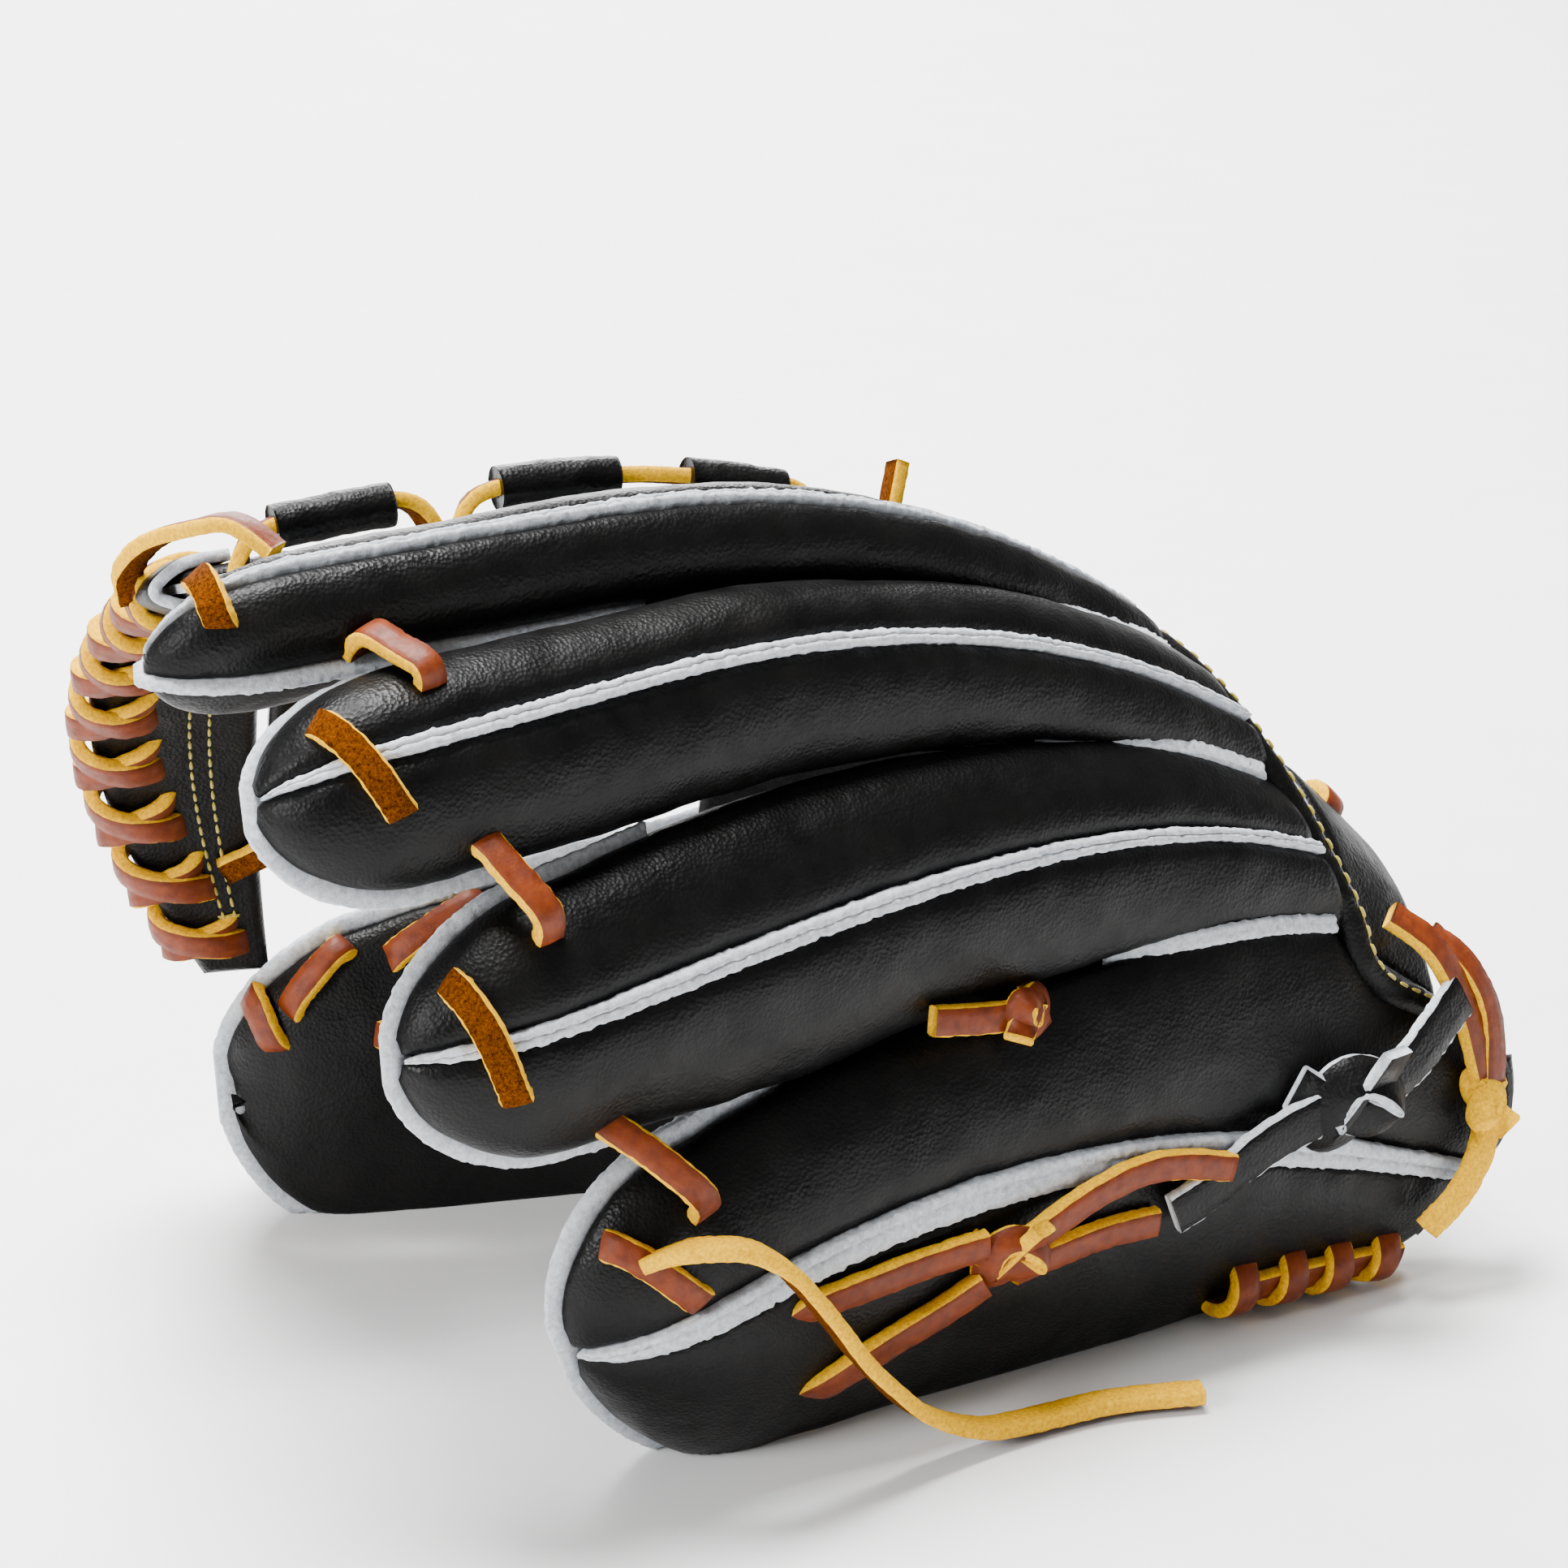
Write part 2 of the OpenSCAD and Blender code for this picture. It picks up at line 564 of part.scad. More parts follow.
module thumb_side_lace() color("#a4552b")
  arch_lace([[-84, 161, -13], [-70, 158, -14], [-50, 156, -14], [-30, 152, -14], [-10, 150, -14]]);

// ---------- laces on the fingers ----------

// Height of a lace along its way through two holes: a long one lies flat between them
LONG_ARC = [[0, -3.5], [0.06, -0.4], [0.22, 1.6], [0.5, 2], [0.78, 1.6], [0.94, -0.4], [1, -3.5]];
SHORT_ARC = [[0, -4], [0.22, 0.2], [0.5, 1.8], [0.78, 0.2], [1, -4]];

function laced(from, to, arc) = [for (p = arc) concat(mix(from, to, p[0]), p[1])];

module tip_lace(k, from, to) color("#9a5a2e") finger_lace(k, laced(from, to, LONG_ARC));

module index_tip_lace() tip_lace(INDEX, [-34, 45], [-30, 130]);
module middle_tip_lace() tip_lace(MIDDLE, [-40, 55], [-13, 120]);
module ring_tip_lace() tip_lace(RING, [-44, 38], [-24, 120]);
module pinky_tip_lace() tip_lace(PINKY, [-40, 28], [-16, 82]);

// Laces that tie neighbouring fingers: index to middle, middle to ring, ring to pinky
module finger_bridge_laces() color("#a4552b") {
  arch_lace([[-92, 70, -12], [-91, 68, -5], [-88, 63, -3], [-85, 58.5, -0.5], [-84, 56, -4]]);
  arch_lace([[-79, 39, -13], [-78, 38, -6], [-75, 34, -3], [-71, 29.5, -1], [-69.5, 26.5, -4]]);
  arch_lace([[-60, 9, -13], [-59, 7.5, -6], [-53, 4.5, -3], [-45, 0, -1], [-42, -3, -4]]);
}

module pinky_loop_lace() color("#a4552b") {
  arch_lace([[-24, -17, -4], [-21, -14.5, 0.5], [-10, -13, 1.5], [2, -12, 1.5], [13, -11, 2]]);
  arch_lace([[-20, -27, -5], [-17, -24.5, -0.5], [-5, -20.5, 1], [6, -18, 1.5], [13, -16.5, 2]]);
  knot([17, -10.5, 4], [17, -14.5, 3.5], 8.5);
  arch_lace([[22, -10, 4], [35, -7, 3.5], [50, -4.5, 3], [66, -5, 3]]);
  arch_lace([[22, -15, 3], [30, -13.5, 2], [40, -12.5, 1.5], [51, -12, 1]]);
}

module knotted_strap() color("#1c1b1c") {
  arch_lace([[54, -11, 1.5], [62, -8, 1.5], [75, -2, 1.5], [84, 2, 2]], strap_w, strap_t);
  knot([89, 3, 6], [98, 7, 6], 13);
  arch_lace([[104, 10, 5], [109, 15, 5], [114, 21, 4], [119, 27, 3]], strap_w, strap_t);
}

module palm_anchor_lace() color("#a4552b") {
  arch_lace([[31, 13, 2 - seam_depth], [28, 12.5, -7], [24, 12.3, -5], [15, 12, -4], [6, 12, -4]]);
}

module pinky_heel_lace() color("#a4552b")
  winding([for (x = [72, 83, 94, 105, 115]) [x, -24, -4]], 4, 0, 4.5, 5);
module thumb_heel_lace() color("#a4552b")
  winding([for (x = [60, 72, 84, 96, 108]) [x, 185, -5]], 4, 0, 4.5, 5);

module heel_corner_laces() color("#a4552b") {
  arch_lace([[112, 42, 2], [118, 37, 4], [125, 29, 4], [131, 16, 3]]);
  arch_lace([[124, 44, 2], [128, 37, 5], [132, 29, 5], [133, 15, 3]]);
}

module heel_knot_lace() color("#c98d1b") {
  knot([131, 12, 3], [132, 8, 3], 9);
  arch_lace([[131, 5, 3], [128, -2, 5], [122, -10, 6], [115, -18, 5]]);
}

module thumb_palm_laces() color("#a4552b") {
  finger_lace(THUMB, laced([-50, 184], [-40, 246], SHORT_ARC));
  finger_lace(THUMB, laced([-33, 226], [-5, 199], SHORT_ARC));
  finger_lace(THUMB, laced([0.01, 250], [0.1, 259], SHORT_ARC));
  finger_lace(THUMB, laced([0.03, 216], [0.13, 198], SHORT_ARC));
}

// The free end of the lace that ties the pinky's tip: it drops to the ground and lies there
TAIL = [[-59, -79, 49], [-55, -84, 52.5], [-50, -87, 53.5], [-44, -88, 52.5], [-38, -88, 48.5],
  [-33, -87, 42.5], [-28, -86, 35.5], [-23, -85, 28], [-17, -84, 20.5], [-10, -82, 13], [-2, -80, 7.5],
  [7, -78, 4], [18, -76, 3], [29, -75, 3], [39, -76, 3], [49, -78, 3]];

module pinky_lace_tail() color("#d9a514") {
  path = smooth(TAIL, 3);
  rings = [for (i = [0:len(path) - 1])
    let (ahead = direction(path, i))
    let (side = unit(cross(ahead, [0, 0, 1])))
    let (up = cross(side, ahead))
    [for (b = [0:45:315]) path[i] + lace_w / 2 * cos(b) * side - lace_t / 2 * sin(b) * up]];
  loft(rings);
}

index_back();
middle_back();
ring_back();
pinky_back();
thumb_back();
index_back_welt();
middle_back_welt();
ring_back_welt();
pinky_back_welt();
thumb_back_welt();
index_edge_welt();
middle_edge_welt();
ring_edge_welt();
pinky_edge_welt();
thumb_edge_welt();
crotch_welts();
index_palm();
middle_palm();
ring_palm();
pinky_palm();
thumb_palm();
pinky_heel();
thumb_heel();
palm_pocket();
palm_felt();
pinky_felt();
thumb_felt();
finger_linings();
thumb_lining();
wrist_binding();
pinky_heel_binding();
thumb_heel_binding();
pinky_wrist_strap();
thumb_wrist_strap();
strap_lace();
web_crown_bar();
web_inner_bar();
web_cross_bar();
web_base();
web_edge_lace();
web_lace_tubes();
web_index_lace();
index_corner_tab();
index_corner_lace();
thumb_side_lace();
index_tip_lace();
middle_tip_lace();
ring_tip_lace();
pinky_tip_lace();
finger_bridge_laces();
pinky_loop_lace();
knotted_strap();
palm_anchor_lace();
pinky_heel_lace();
thumb_heel_lace();
heel_corner_laces();
heel_knot_lace();
thumb_palm_laces();
pinky_lace_tail();
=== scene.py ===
"""Looks of the left-hand fielder's glove: leather, welts, laces and stitches over the CAD parts.

Lengths are in millimetres until a mesh is made. Leather is laid out on the same arch as in the
CAD source: arch(x, a) is the outermost surface at station x, and the angle a, in degrees, runs
from the pinky's ground line over the ridge (90) to the thumb's ground line.
"""

import json
import math

import bpy
import numpy as np
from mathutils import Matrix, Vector

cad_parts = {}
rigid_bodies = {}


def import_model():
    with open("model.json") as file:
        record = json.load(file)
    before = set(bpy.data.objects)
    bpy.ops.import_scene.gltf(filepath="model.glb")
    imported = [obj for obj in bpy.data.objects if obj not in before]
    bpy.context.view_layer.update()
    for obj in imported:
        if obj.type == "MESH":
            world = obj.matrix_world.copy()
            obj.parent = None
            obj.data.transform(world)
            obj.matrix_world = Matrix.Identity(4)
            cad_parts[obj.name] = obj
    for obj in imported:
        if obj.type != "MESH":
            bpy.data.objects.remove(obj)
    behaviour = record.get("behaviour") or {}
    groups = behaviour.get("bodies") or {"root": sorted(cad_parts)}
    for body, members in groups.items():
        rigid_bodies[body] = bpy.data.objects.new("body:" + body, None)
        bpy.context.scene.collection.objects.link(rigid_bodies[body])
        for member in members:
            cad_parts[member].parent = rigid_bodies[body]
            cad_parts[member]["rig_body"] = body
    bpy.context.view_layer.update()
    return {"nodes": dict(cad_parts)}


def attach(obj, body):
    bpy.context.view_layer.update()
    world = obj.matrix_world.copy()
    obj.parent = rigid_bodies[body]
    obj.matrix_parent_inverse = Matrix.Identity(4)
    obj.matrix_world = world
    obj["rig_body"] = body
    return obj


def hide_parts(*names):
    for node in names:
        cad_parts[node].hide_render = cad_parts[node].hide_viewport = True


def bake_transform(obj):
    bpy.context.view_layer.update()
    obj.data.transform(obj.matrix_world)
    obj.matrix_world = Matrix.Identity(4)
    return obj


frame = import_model()
MM = 0.001

# ---------- camera ----------

AIM = Vector((-5, -7, 105)) * MM
AZIMUTH, ELEVATION = math.radians(-22), math.radians(20)
DISTANCE = 0.9
SENSOR, LENS = 36.0, 111.8


def add_camera():
    back = Vector(
        (
            math.sin(AZIMUTH) * math.cos(ELEVATION),
            -math.cos(AZIMUTH) * math.cos(ELEVATION),
            math.sin(ELEVATION),
        )
    )
    data = bpy.data.cameras.new("camera")
    data.lens, data.sensor_width = LENS, SENSOR
    camera = bpy.data.objects.new("camera", data)
    bpy.context.scene.collection.objects.link(camera)
    camera.location = AIM + back * DISTANCE
    camera.rotation_mode = "QUATERNION"
    camera.rotation_quaternion = (-back).to_track_quat("-Z", "Y")
    bpy.context.scene.camera = camera


# ---------- materials ----------


class Shader:
    """A Principled material with helpers that add and join its nodes."""

    def __init__(self, name, roughness=0.5, sheen=0.0):
        self.material = bpy.data.materials.new(name)
        self.material.use_nodes = True
        self.tree = self.material.node_tree
        self.bsdf = self.tree.nodes["Principled BSDF"]
        self.bsdf.inputs["Roughness"].default_value = roughness
        self.bsdf.inputs["Sheen Weight"].default_value = sheen
        self.place = self.add("ShaderNodeTexCoord").outputs["Object"]

    def add(self, kind, **inputs):
        node = self.tree.nodes.new(kind)
        for name, value in inputs.items():
            self.feed(node.inputs[name.replace("_", " ")], value)
        return node

    def feed(self, socket, value):
        if isinstance(value, bpy.types.NodeSocket):
            self.tree.links.new(value, socket)
        else:
            socket.default_value = value

    def noise(self, scale, detail=4.0, roughness=0.55):
        node = self.add("ShaderNodeTexNoise", Vector=self.place, Scale=scale, Detail=detail)
        node.inputs["Roughness"].default_value = roughness
        return node.outputs["Fac"]

    def cells(self, scale):
        node = self.add("ShaderNodeTexVoronoi", Vector=self.place, Scale=scale)
        return node.outputs["Distance"]

    def ramp(self, value, low, high, from_low=0.3, from_high=0.7):
        """Blends the colours or greys low and high while value goes between its two ends."""
        node = self.add("ShaderNodeValToRGB", Fac=value)
        ends = node.color_ramp.elements
        for end, place, colour in ((ends[0], from_low, low), (ends[1], from_high, high)):
            end.position = place
            end.color = (*colour, 1) if hasattr(colour, "__len__") else (colour,) * 3 + (1,)
        return node.outputs["Color"]

    def colour(self, value):
        self.feed(self.bsdf.inputs["Base Color"], value)

    def rough(self, value):
        self.feed(self.bsdf.inputs["Roughness"], value)

    def specular(self, level):
        self.bsdf.inputs["Specular IOR Level"].default_value = level

    def bump(self, layers):
        """Bumps from (height, depth in mm, strength) layers, finest first."""
        normal = None
        for height, depth, strength in layers:
            node = self.add("ShaderNodeBump", Height=height, Strength=strength, Distance=depth * MM)
            if normal is not None:
                self.feed(node.inputs["Normal"], normal)
            normal = node.outputs["Normal"]
        self.feed(self.bsdf.inputs["Normal"], normal)


def black_leather(name, dark, light):
    """Smooth grained leather, a little browner and duller where it is rubbed."""
    s = Shader(name)
    s.colour(s.ramp(s.noise(70), dark, light))
    s.rough(s.ramp(s.noise(160), 0.33, 0.50))
    s.specular(0.13)
    pores, grain, creases = s.noise(2600), s.cells(1350), s.noise(240, 6)
    s.bump([(pores, 0.06, 0.30), (grain, 0.22, 0.45), (creases, 0.45, 0.2)])
    return s.material


def rawhide():
    s = Shader("rawhide_welt", roughness=0.95, sheen=0.2)
    s.colour(s.ramp(s.noise(900, 5, 0.7), (0.34, 0.37, 0.41), (0.70, 0.73, 0.77)))
    s.bump([(s.noise(2600, 5, 0.75), 0.35, 0.9), (s.noise(700, 3), 0.5, 0.5)])
    return s.material


def lace_face():
    """Smooth brown face of a lace, scuffed in places."""
    s = Shader("lace_grain")
    s.colour(s.ramp(s.noise(420, 5), (0.082, 0.0105, 0.0), (0.165, 0.026, 0.0004)))
    s.rough(s.ramp(s.noise(500), 0.42, 0.62))
    s.specular(0.25)
    s.bump([(s.noise(3200), 0.08, 0.4), (s.cells(1300), 0.10, 0.35)])
    return s.material


def lace_cut_edge():
    s = Shader("lace_edge", roughness=0.9)
    s.colour(s.ramp(s.noise(1500, 5), (0.56, 0.26, 0.0), (0.90, 0.50, 0.0)))
    s.specular(0.1)
    s.bump([(s.noise(3800, 4), 0.22, 0.7)])
    return s.material


def lace_flesh_side():
    """Rough flesh side: orange nap with dark flecks."""
    s = Shader("lace_suede", roughness=0.97)
    nap = s.noise(1500, 6, 0.8)
    s.colour(s.ramp(nap, (0.026, 0.0048, 0.0), (0.22, 0.056, 0.0), 0.38, 0.64))
    s.specular(0.05)
    s.bump([(s.noise(3000, 5, 0.8), 0.45, 1.0)])
    return s.material


def thread():
    s = Shader("thread", roughness=0.6, sheen=0.2)
    s.colour(s.ramp(s.noise(1800), (0.26, 0.19, 0.01), (0.5, 0.39, 0.04)))
    s.bump([(s.noise(6000), 0.08, 0.6)])
    return s.material


def felt_wool():
    s = Shader("felt", roughness=1.0, sheen=0.3)
    s.colour(s.ramp(s.noise(1200, 6, 0.8), (0.24, 0.22, 0.18), (0.46, 0.43, 0.36)))
    s.bump([(s.noise(2400, 6, 0.8), 0.5, 0.9)])
    return s.material


def floor_paper():
    s = Shader("floor", roughness=0.75)
    s.colour(s.ramp(s.noise(30), (0.86, 0.86, 0.86), (0.90, 0.90, 0.90)))
    s.bump([(s.noise(900), 0.05, 0.1)])
    return s.material


def make_materials():
    return {
        "leather": black_leather("black_leather", (8e-4, 8e-4, 9e-4), (0.0032, 0.0029, 0.0027)),
        "palm": black_leather("palm_leather", (0.0014, 0.0013, 0.0013), (0.005, 0.0046, 0.0044)),
        "lining": black_leather("lining_leather", (0.03, 0.026, 0.022), (0.07, 0.06, 0.05)),
        "rawhide": rawhide(),
        "face": lace_face(),
        "edge": lace_cut_edge(),
        "suede": lace_flesh_side(),
        "thread": thread(),
        "felt": felt_wool(),
        "floor": floor_paper(),
    }


# ---------- smooth noise ----------

rng = np.random.default_rng(11)
PERM = rng.permutation(256)
LATTICE = rng.uniform(-1, 1, 256)


def noise3(p):
    """Smooth value noise from -1 to 1 at points p, one bump a unit."""
    cell = np.floor(p).astype(int)
    f = p - cell
    f = f * f * (3 - 2 * f)
    total = 0
    for corner in np.ndindex(2, 2, 2):
        c = (cell + corner) & 255
        column = PERM[(PERM[c[..., 0]] + c[..., 1]) & 255]
        value = LATTICE[PERM[(column + c[..., 2]) & 255]]
        weight = np.prod(np.where(np.array(corner) == 1, f, 1 - f), axis=-1)
        total = total + value * weight
    return total


def fractal(p, octaves=3):
    return sum(noise3(p * 2.03**i + 17.3 * i) * 0.5**i for i in range(octaves))


# ---------- the arch ----------

RIDGE_H, RIDGE_X, RIDGE_FALL, TIP_FALL = 172, -45, 0.0031, 0.0009
NEAR_W, FAR_W, NEAR_BASE, FAR_BASE = 52, 94, 0.353, 0.172
NEAR_TAPER, FAR_TAPER = 0.09, 0.29
RIDGE_Y0, RIDGE_DRIFT, MIDDLE_X = -19, 0.1, 5
LINE_TIPS, LINE_WRIST = -110, 100
HEEL_X, HEEL_ROUND, HEEL_LOW, HEEL_HIGH = 138, 0.009, 25, 141
WRIST_X, WRIST_A, WRIST_SLANT = 76, 85, 0.5
TIP_LEN, SEAM_DEPTH, STALL_DEPTH, BACK_FLAT, THUMB_SEAM = 27, 14, 27, 5, 21
CUFF_X, PART_X, FINGER_GAP = 70, -10, 0.25
PINKY_TOP, PINKY_CUFF, THUMB_TOP = 34, 27, 142
CORNER_X, CORNER_FALL = 96, 0.7
PALM_X, HEEL_FRONT, HEEL_DEPTH = 98, 108, 15
LEATHER, LINING, FELT, SKIN_GAP = 3, 1, 4, 0.2
WEB_T, WEB_DEPTH, FOLD_GAP, TUBE_D = 5, 7, 6, 8
LACE_W, LACE_T = 5.6, 2.8
# How far the palm side's seam stays over the stall's bottom at the cuff; and how far behind its
# cap, and by how much, a finger's cross sections turn square to it
PALM_RISE, SLANT_REACH, SLANT_SHARE = 6, 60, 0.8

INDEX, MIDDLE, RING, PINKY, THUMB = range(5)
NAMES = ["index", "middle", "ring", "pinky", "thumb"]

# Lines over the arch: the angle at the tips' station, at x = 0 and at the wrist's station
PINKY_GROUND, RING_PINKY, MIDDLE_RING = (-40, -40, -40), (0, 9, 34), (32, 40, 60.5)
INDEX_MIDDLE, INDEX_WEB = (68, 69, 92), (97, 99, 116)
THUMB_WEB, THUMB_GROUND = (172, 159, 136), (196, 196, 196)

# Each finger: its low side, centre and high side line, how fast it parts from the neighbour on
# its low and on its high side, and the station of its tip
FINGERS = [
    (INDEX_MIDDLE, (83, 82.5, 102), INDEX_WEB, 0.03, 0, -128),
    (MIDDLE_RING, (50, 55, 70), INDEX_MIDDLE, 0.03, 0.03, -114),
    (RING_PINKY, (18, 25.5, 46.5), MIDDLE_RING, 0.06, 0.03, -94),
    (PINKY_GROUND, (-30, -7, -5), RING_PINKY, 0, 0.06, -62),
    (THUMB_WEB, (181, 178, 169), THUMB_GROUND, 0, 0, -83),
]


def sin_d(v):
    return np.sin(np.radians(v))


def cos_d(v):
    return np.cos(np.radians(v))


def mix(a, b, t):
    return a + (b - a) * t


def unit(v):
    return v / np.maximum(np.linalg.norm(v, axis=-1, keepdims=True), 1e-9)


def line(l, x):
    """Angle at station x on the curve through a line's three angles."""
    before, after = (l[0] - l[1]) / LINE_TIPS, (l[2] - l[1]) / LINE_WRIST
    curve = (after - before) / (LINE_WRIST - LINE_TIPS)
    return l[1] + (after - curve * LINE_WRIST) * x + curve * x * x


def arch(x, a):
    near = a <= 90
    w = np.where(near, NEAR_W - NEAR_TAPER * x, FAR_W - FAR_TAPER * x)
    base = np.where(near, NEAR_BASE, FAR_BASE)
    ridge = RIDGE_H - np.where(x < RIDGE_X, TIP_FALL, RIDGE_FALL) * (x - RIDGE_X) ** 2
    y = RIDGE_Y0 + RIDGE_DRIFT * x - w * cos_d(a)
    z = ridge * (base + (1 - base) * sin_d(a))
    return np.stack(np.broadcast_arrays(x - MIDDLE_X, y, z), -1)


STEP = 0.1


def across(x, a):
    return (arch(x, a + STEP) - arch(x, a - STEP)) / (2 * STEP)


def normal(x, a):
    along = (arch(x + STEP, a) - arch(x - STEP, a)) / (2 * STEP)
    return unit(np.cross(along, across(x, a)))


def over(x, a, h, floor_z=0.0):
    """Point at height h over the arch surface, kept at or above the ground."""
    x, a, h = np.broadcast_arrays(*(np.asarray(v, float) for v in (x, a, h)))
    p = arch(x, a) + h[..., None] * normal(x, a)
    p[..., 2] = np.maximum(p[..., 2], floor_z)
    return p


def deg_per_mm(x, a):
    return 1 / np.linalg.norm(across(x, a), axis=-1)


def pinky_top(x):
    return np.maximum(PINKY_CUFF, PINKY_TOP - CORNER_FALL * np.maximum(0, x - CORNER_X))


def low_side(k, x):
    a = line(FINGERS[k][0], x) + FINGER_GAP + FINGERS[k][3] * np.maximum(0, PART_X - x)
    return np.maximum(a, THUMB_TOP) if k == THUMB else a


def high_side(k, x):
    a = line(FINGERS[k][2], x) - FINGER_GAP - FINGERS[k][4] * np.maximum(0, PART_X - x)
    return np.minimum(a, pinky_top(x)) if k == PINKY else a


def centre(k, x):
    return line(FINGERS[k][1], x)


def cap_x(k):
    return FINGERS[k][5] + TIP_LEN


def slant(k, x):
    """How far a finger's centre line strays across for each mm along."""
    return (centre(k, x + 1) - centre(k, x - 1)) / 2 / deg_per_mm(x, centre(k, x))


def wrist_end(a):
    return WRIST_X + (WRIST_A - a) * WRIST_SLANT


def heel_end(a):
    return HEEL_X - HEEL_ROUND * np.maximum(0, np.maximum(HEEL_LOW - a, a - HEEL_HIGH)) ** 2


def back_end(k, a):
    return heel_end(a) if k >= PINKY else wrist_end(a)


def seam_depths(k, x, th):
    """Depths of the back's and the palm side's edge at the finger's side where th lies."""
    cuff = np.clip(x / CUFF_X, 0, 1)
    back, palm = mix(SEAM_DEPTH, BACK_FLAT, cuff), mix(SEAM_DEPTH, STALL_DEPTH - PALM_RISE, cuff)
    if k == PINKY:
        ground = cos_d(th) < 0
        back, palm = np.where(ground, SEAM_DEPTH, back), np.where(ground, SEAM_DEPTH, palm)
    if k == THUMB:
        ground = cos_d(th) > 0
        depth = mix(SEAM_DEPTH, THUMB_SEAM, np.clip(cos_d(th) * 1.5, 0, 1))
        back, palm = np.where(ground, depth, back), np.where(ground, depth, palm)
    return back, palm


def finger_angle(k, x, th, s, h):
    c = centre(k, x)
    side = np.where(cos_d(th) >= 0, high_side(k, x) - c, c - low_side(k, x))
    return c + (side + h * deg_per_mm(x, c)) * cos_d(th) * s


def finger(k, t, th, h=0.0, end=None):
    """Point on finger k, h outside its surface.

    t runs from -90 (tip) over 0 (end of the round cap) to 1 (wrist), and th is the angle round it:
    0 and 180 are its seams, 90 the middle of its back and 270 that of its palm side.
    """
    t, th, h = np.broadcast_arrays(*(np.asarray(v, float) for v in (t, th, h)))
    cap = np.where(t < 0, -t, 0)
    s = cos_d(cap)
    start = cap_x(k)
    last = back_end(k, centre(k, start)) if end is None else end
    tip_x = start - (TIP_LEN + h) * sin_d(cap)
    x = np.where(t < 0, tip_x, mix(start, last, t))
    if end is None:
        x = np.where(t < 0, tip_x, mix(start, back_end(k, finger_angle(k, x, th, s, h)), t))
    a = finger_angle(k, x, th, s, h)
    back, palm = seam_depths(k, x, th)
    skew = np.clip((start + SLANT_REACH - x) / SLANT_REACH, 0, 1) * slant(k, x)
    station = x - skew * (a - centre(k, x)) / deg_per_mm(x, a) * SLANT_SHARE
    seam = np.where(sin_d(th) >= 0, back, palm)
    bulge = np.where(sin_d(th) >= 0, seam, STALL_DEPTH - seam)
    return over(station, a, -seam + (bulge + h) * sin_d(th) * s)


# ---------- meshes ----------


def add_mesh(name, points, faces, materials):
    """Mesh object from points in mm and lists of corners."""
    mesh = bpy.data.meshes.new(name)
    mesh.from_pydata((points * MM).tolist(), [], faces)
    for material in materials:
        mesh.materials.append(MATERIALS[material])
    mesh.shade_smooth()
    obj = bpy.data.objects.new(name, mesh)
    bpy.context.scene.collection.objects.link(obj)
    return obj


def build(name, points, faces, materials, face_slots=None):
    """Mesh object of four-cornered faces. A shell whose faces point inwards is turned round."""
    points, faces = np.asarray(points, float).reshape(-1, 3), np.asarray(faces)
    corner = points[faces]
    if np.einsum("ij,ij->i", corner[:, 0], np.cross(corner[:, 1], corner[:, 2])).sum() < 0:
        faces = faces[:, ::-1]
    obj = add_mesh(name, points, faces.tolist(), materials)
    if face_slots is not None:
        obj.data.polygons.foreach_set("material_index", np.asarray(face_slots, dtype=np.int32))
    return obj


def join(parts):
    """Points, faces and flags of several shells as one."""
    points, faces, flags = zip(*parts)
    starts = np.cumsum([0, *map(len, points)])
    faces = [f + start for f, start in zip(faces, starts)]
    return np.concatenate(points), np.concatenate(faces), np.concatenate(flags)


def grid_faces(rows, cols, start=0, wrap=False):
    """Corners of the faces of a grid of points, closed round its columns if wrap is true."""
    i, j = np.meshgrid(np.arange(rows - 1), np.arange(cols if wrap else cols - 1), indexing="ij")
    a, b = i * cols + j, i * cols + (j + 1) % cols
    return start + np.stack([a, b, b + cols, a + cols], -1).reshape(-1, 4)


def slab_parts(outer, inner):
    """Points, faces and rim flags of the closed slab between two grids of points."""
    rows, cols = outer.shape[:2]
    size = rows * cols
    top, bottom = grid_faces(rows, cols), grid_faces(rows, cols, size)[:, ::-1]
    ring = np.concatenate(
        [
            np.arange(cols),
            np.arange(1, rows) * cols + cols - 1,
            (rows - 1) * cols + np.arange(cols - 2, -1, -1),
            np.arange(rows - 2, 0, -1) * cols,
        ]
    )
    after = np.roll(ring, -1)
    rim = np.stack([after, ring, ring + size, after + size], -1)
    faces = np.concatenate([top, bottom, rim])
    flags = np.concatenate([np.zeros(len(top) + len(bottom), int), np.ones(len(rim), int)])
    return np.concatenate([outer.reshape(-1, 3), inner.reshape(-1, 3)]), faces, flags


def slab(name, pairs, materials=("leather",)):
    """One piece from (outer, inner) grids. A second material goes on the rims: cut leather."""
    points, faces, flags = join([slab_parts(outer, inner) for outer, inner in pairs])
    return build(name, points, faces, materials, flags if len(materials) > 1 else None)


def smooth(points, n):
    """Catmull-Rom curve through the rows, n pieces between each two."""
    p = np.asarray(points, float)
    out = []
    for i in range(len(p) - 1):
        a, b, c, d = p[max(i - 1, 0)], p[i], p[i + 1], p[min(i + 2, len(p) - 1)]
        square, cube = 2 * a - 5 * b + 4 * c - d, 3 * b - a - 3 * c + d
        for t in np.arange(n) / n:
            out.append((2 * b + (c - a) * t + square * t**2 + cube * t**3) / 2)
    return np.array([*out, p[-1]])


def even(points, pitch):
    """Points spaced evenly along a path."""
    s = np.concatenate([[0], np.cumsum(np.linalg.norm(np.diff(points, axis=0), axis=1))])
    at = np.linspace(0, s[-1], max(3, int(s[-1] / pitch) + 1))
    return np.stack([np.interp(at, s, points[:, i]) for i in range(points.shape[1])], -1)


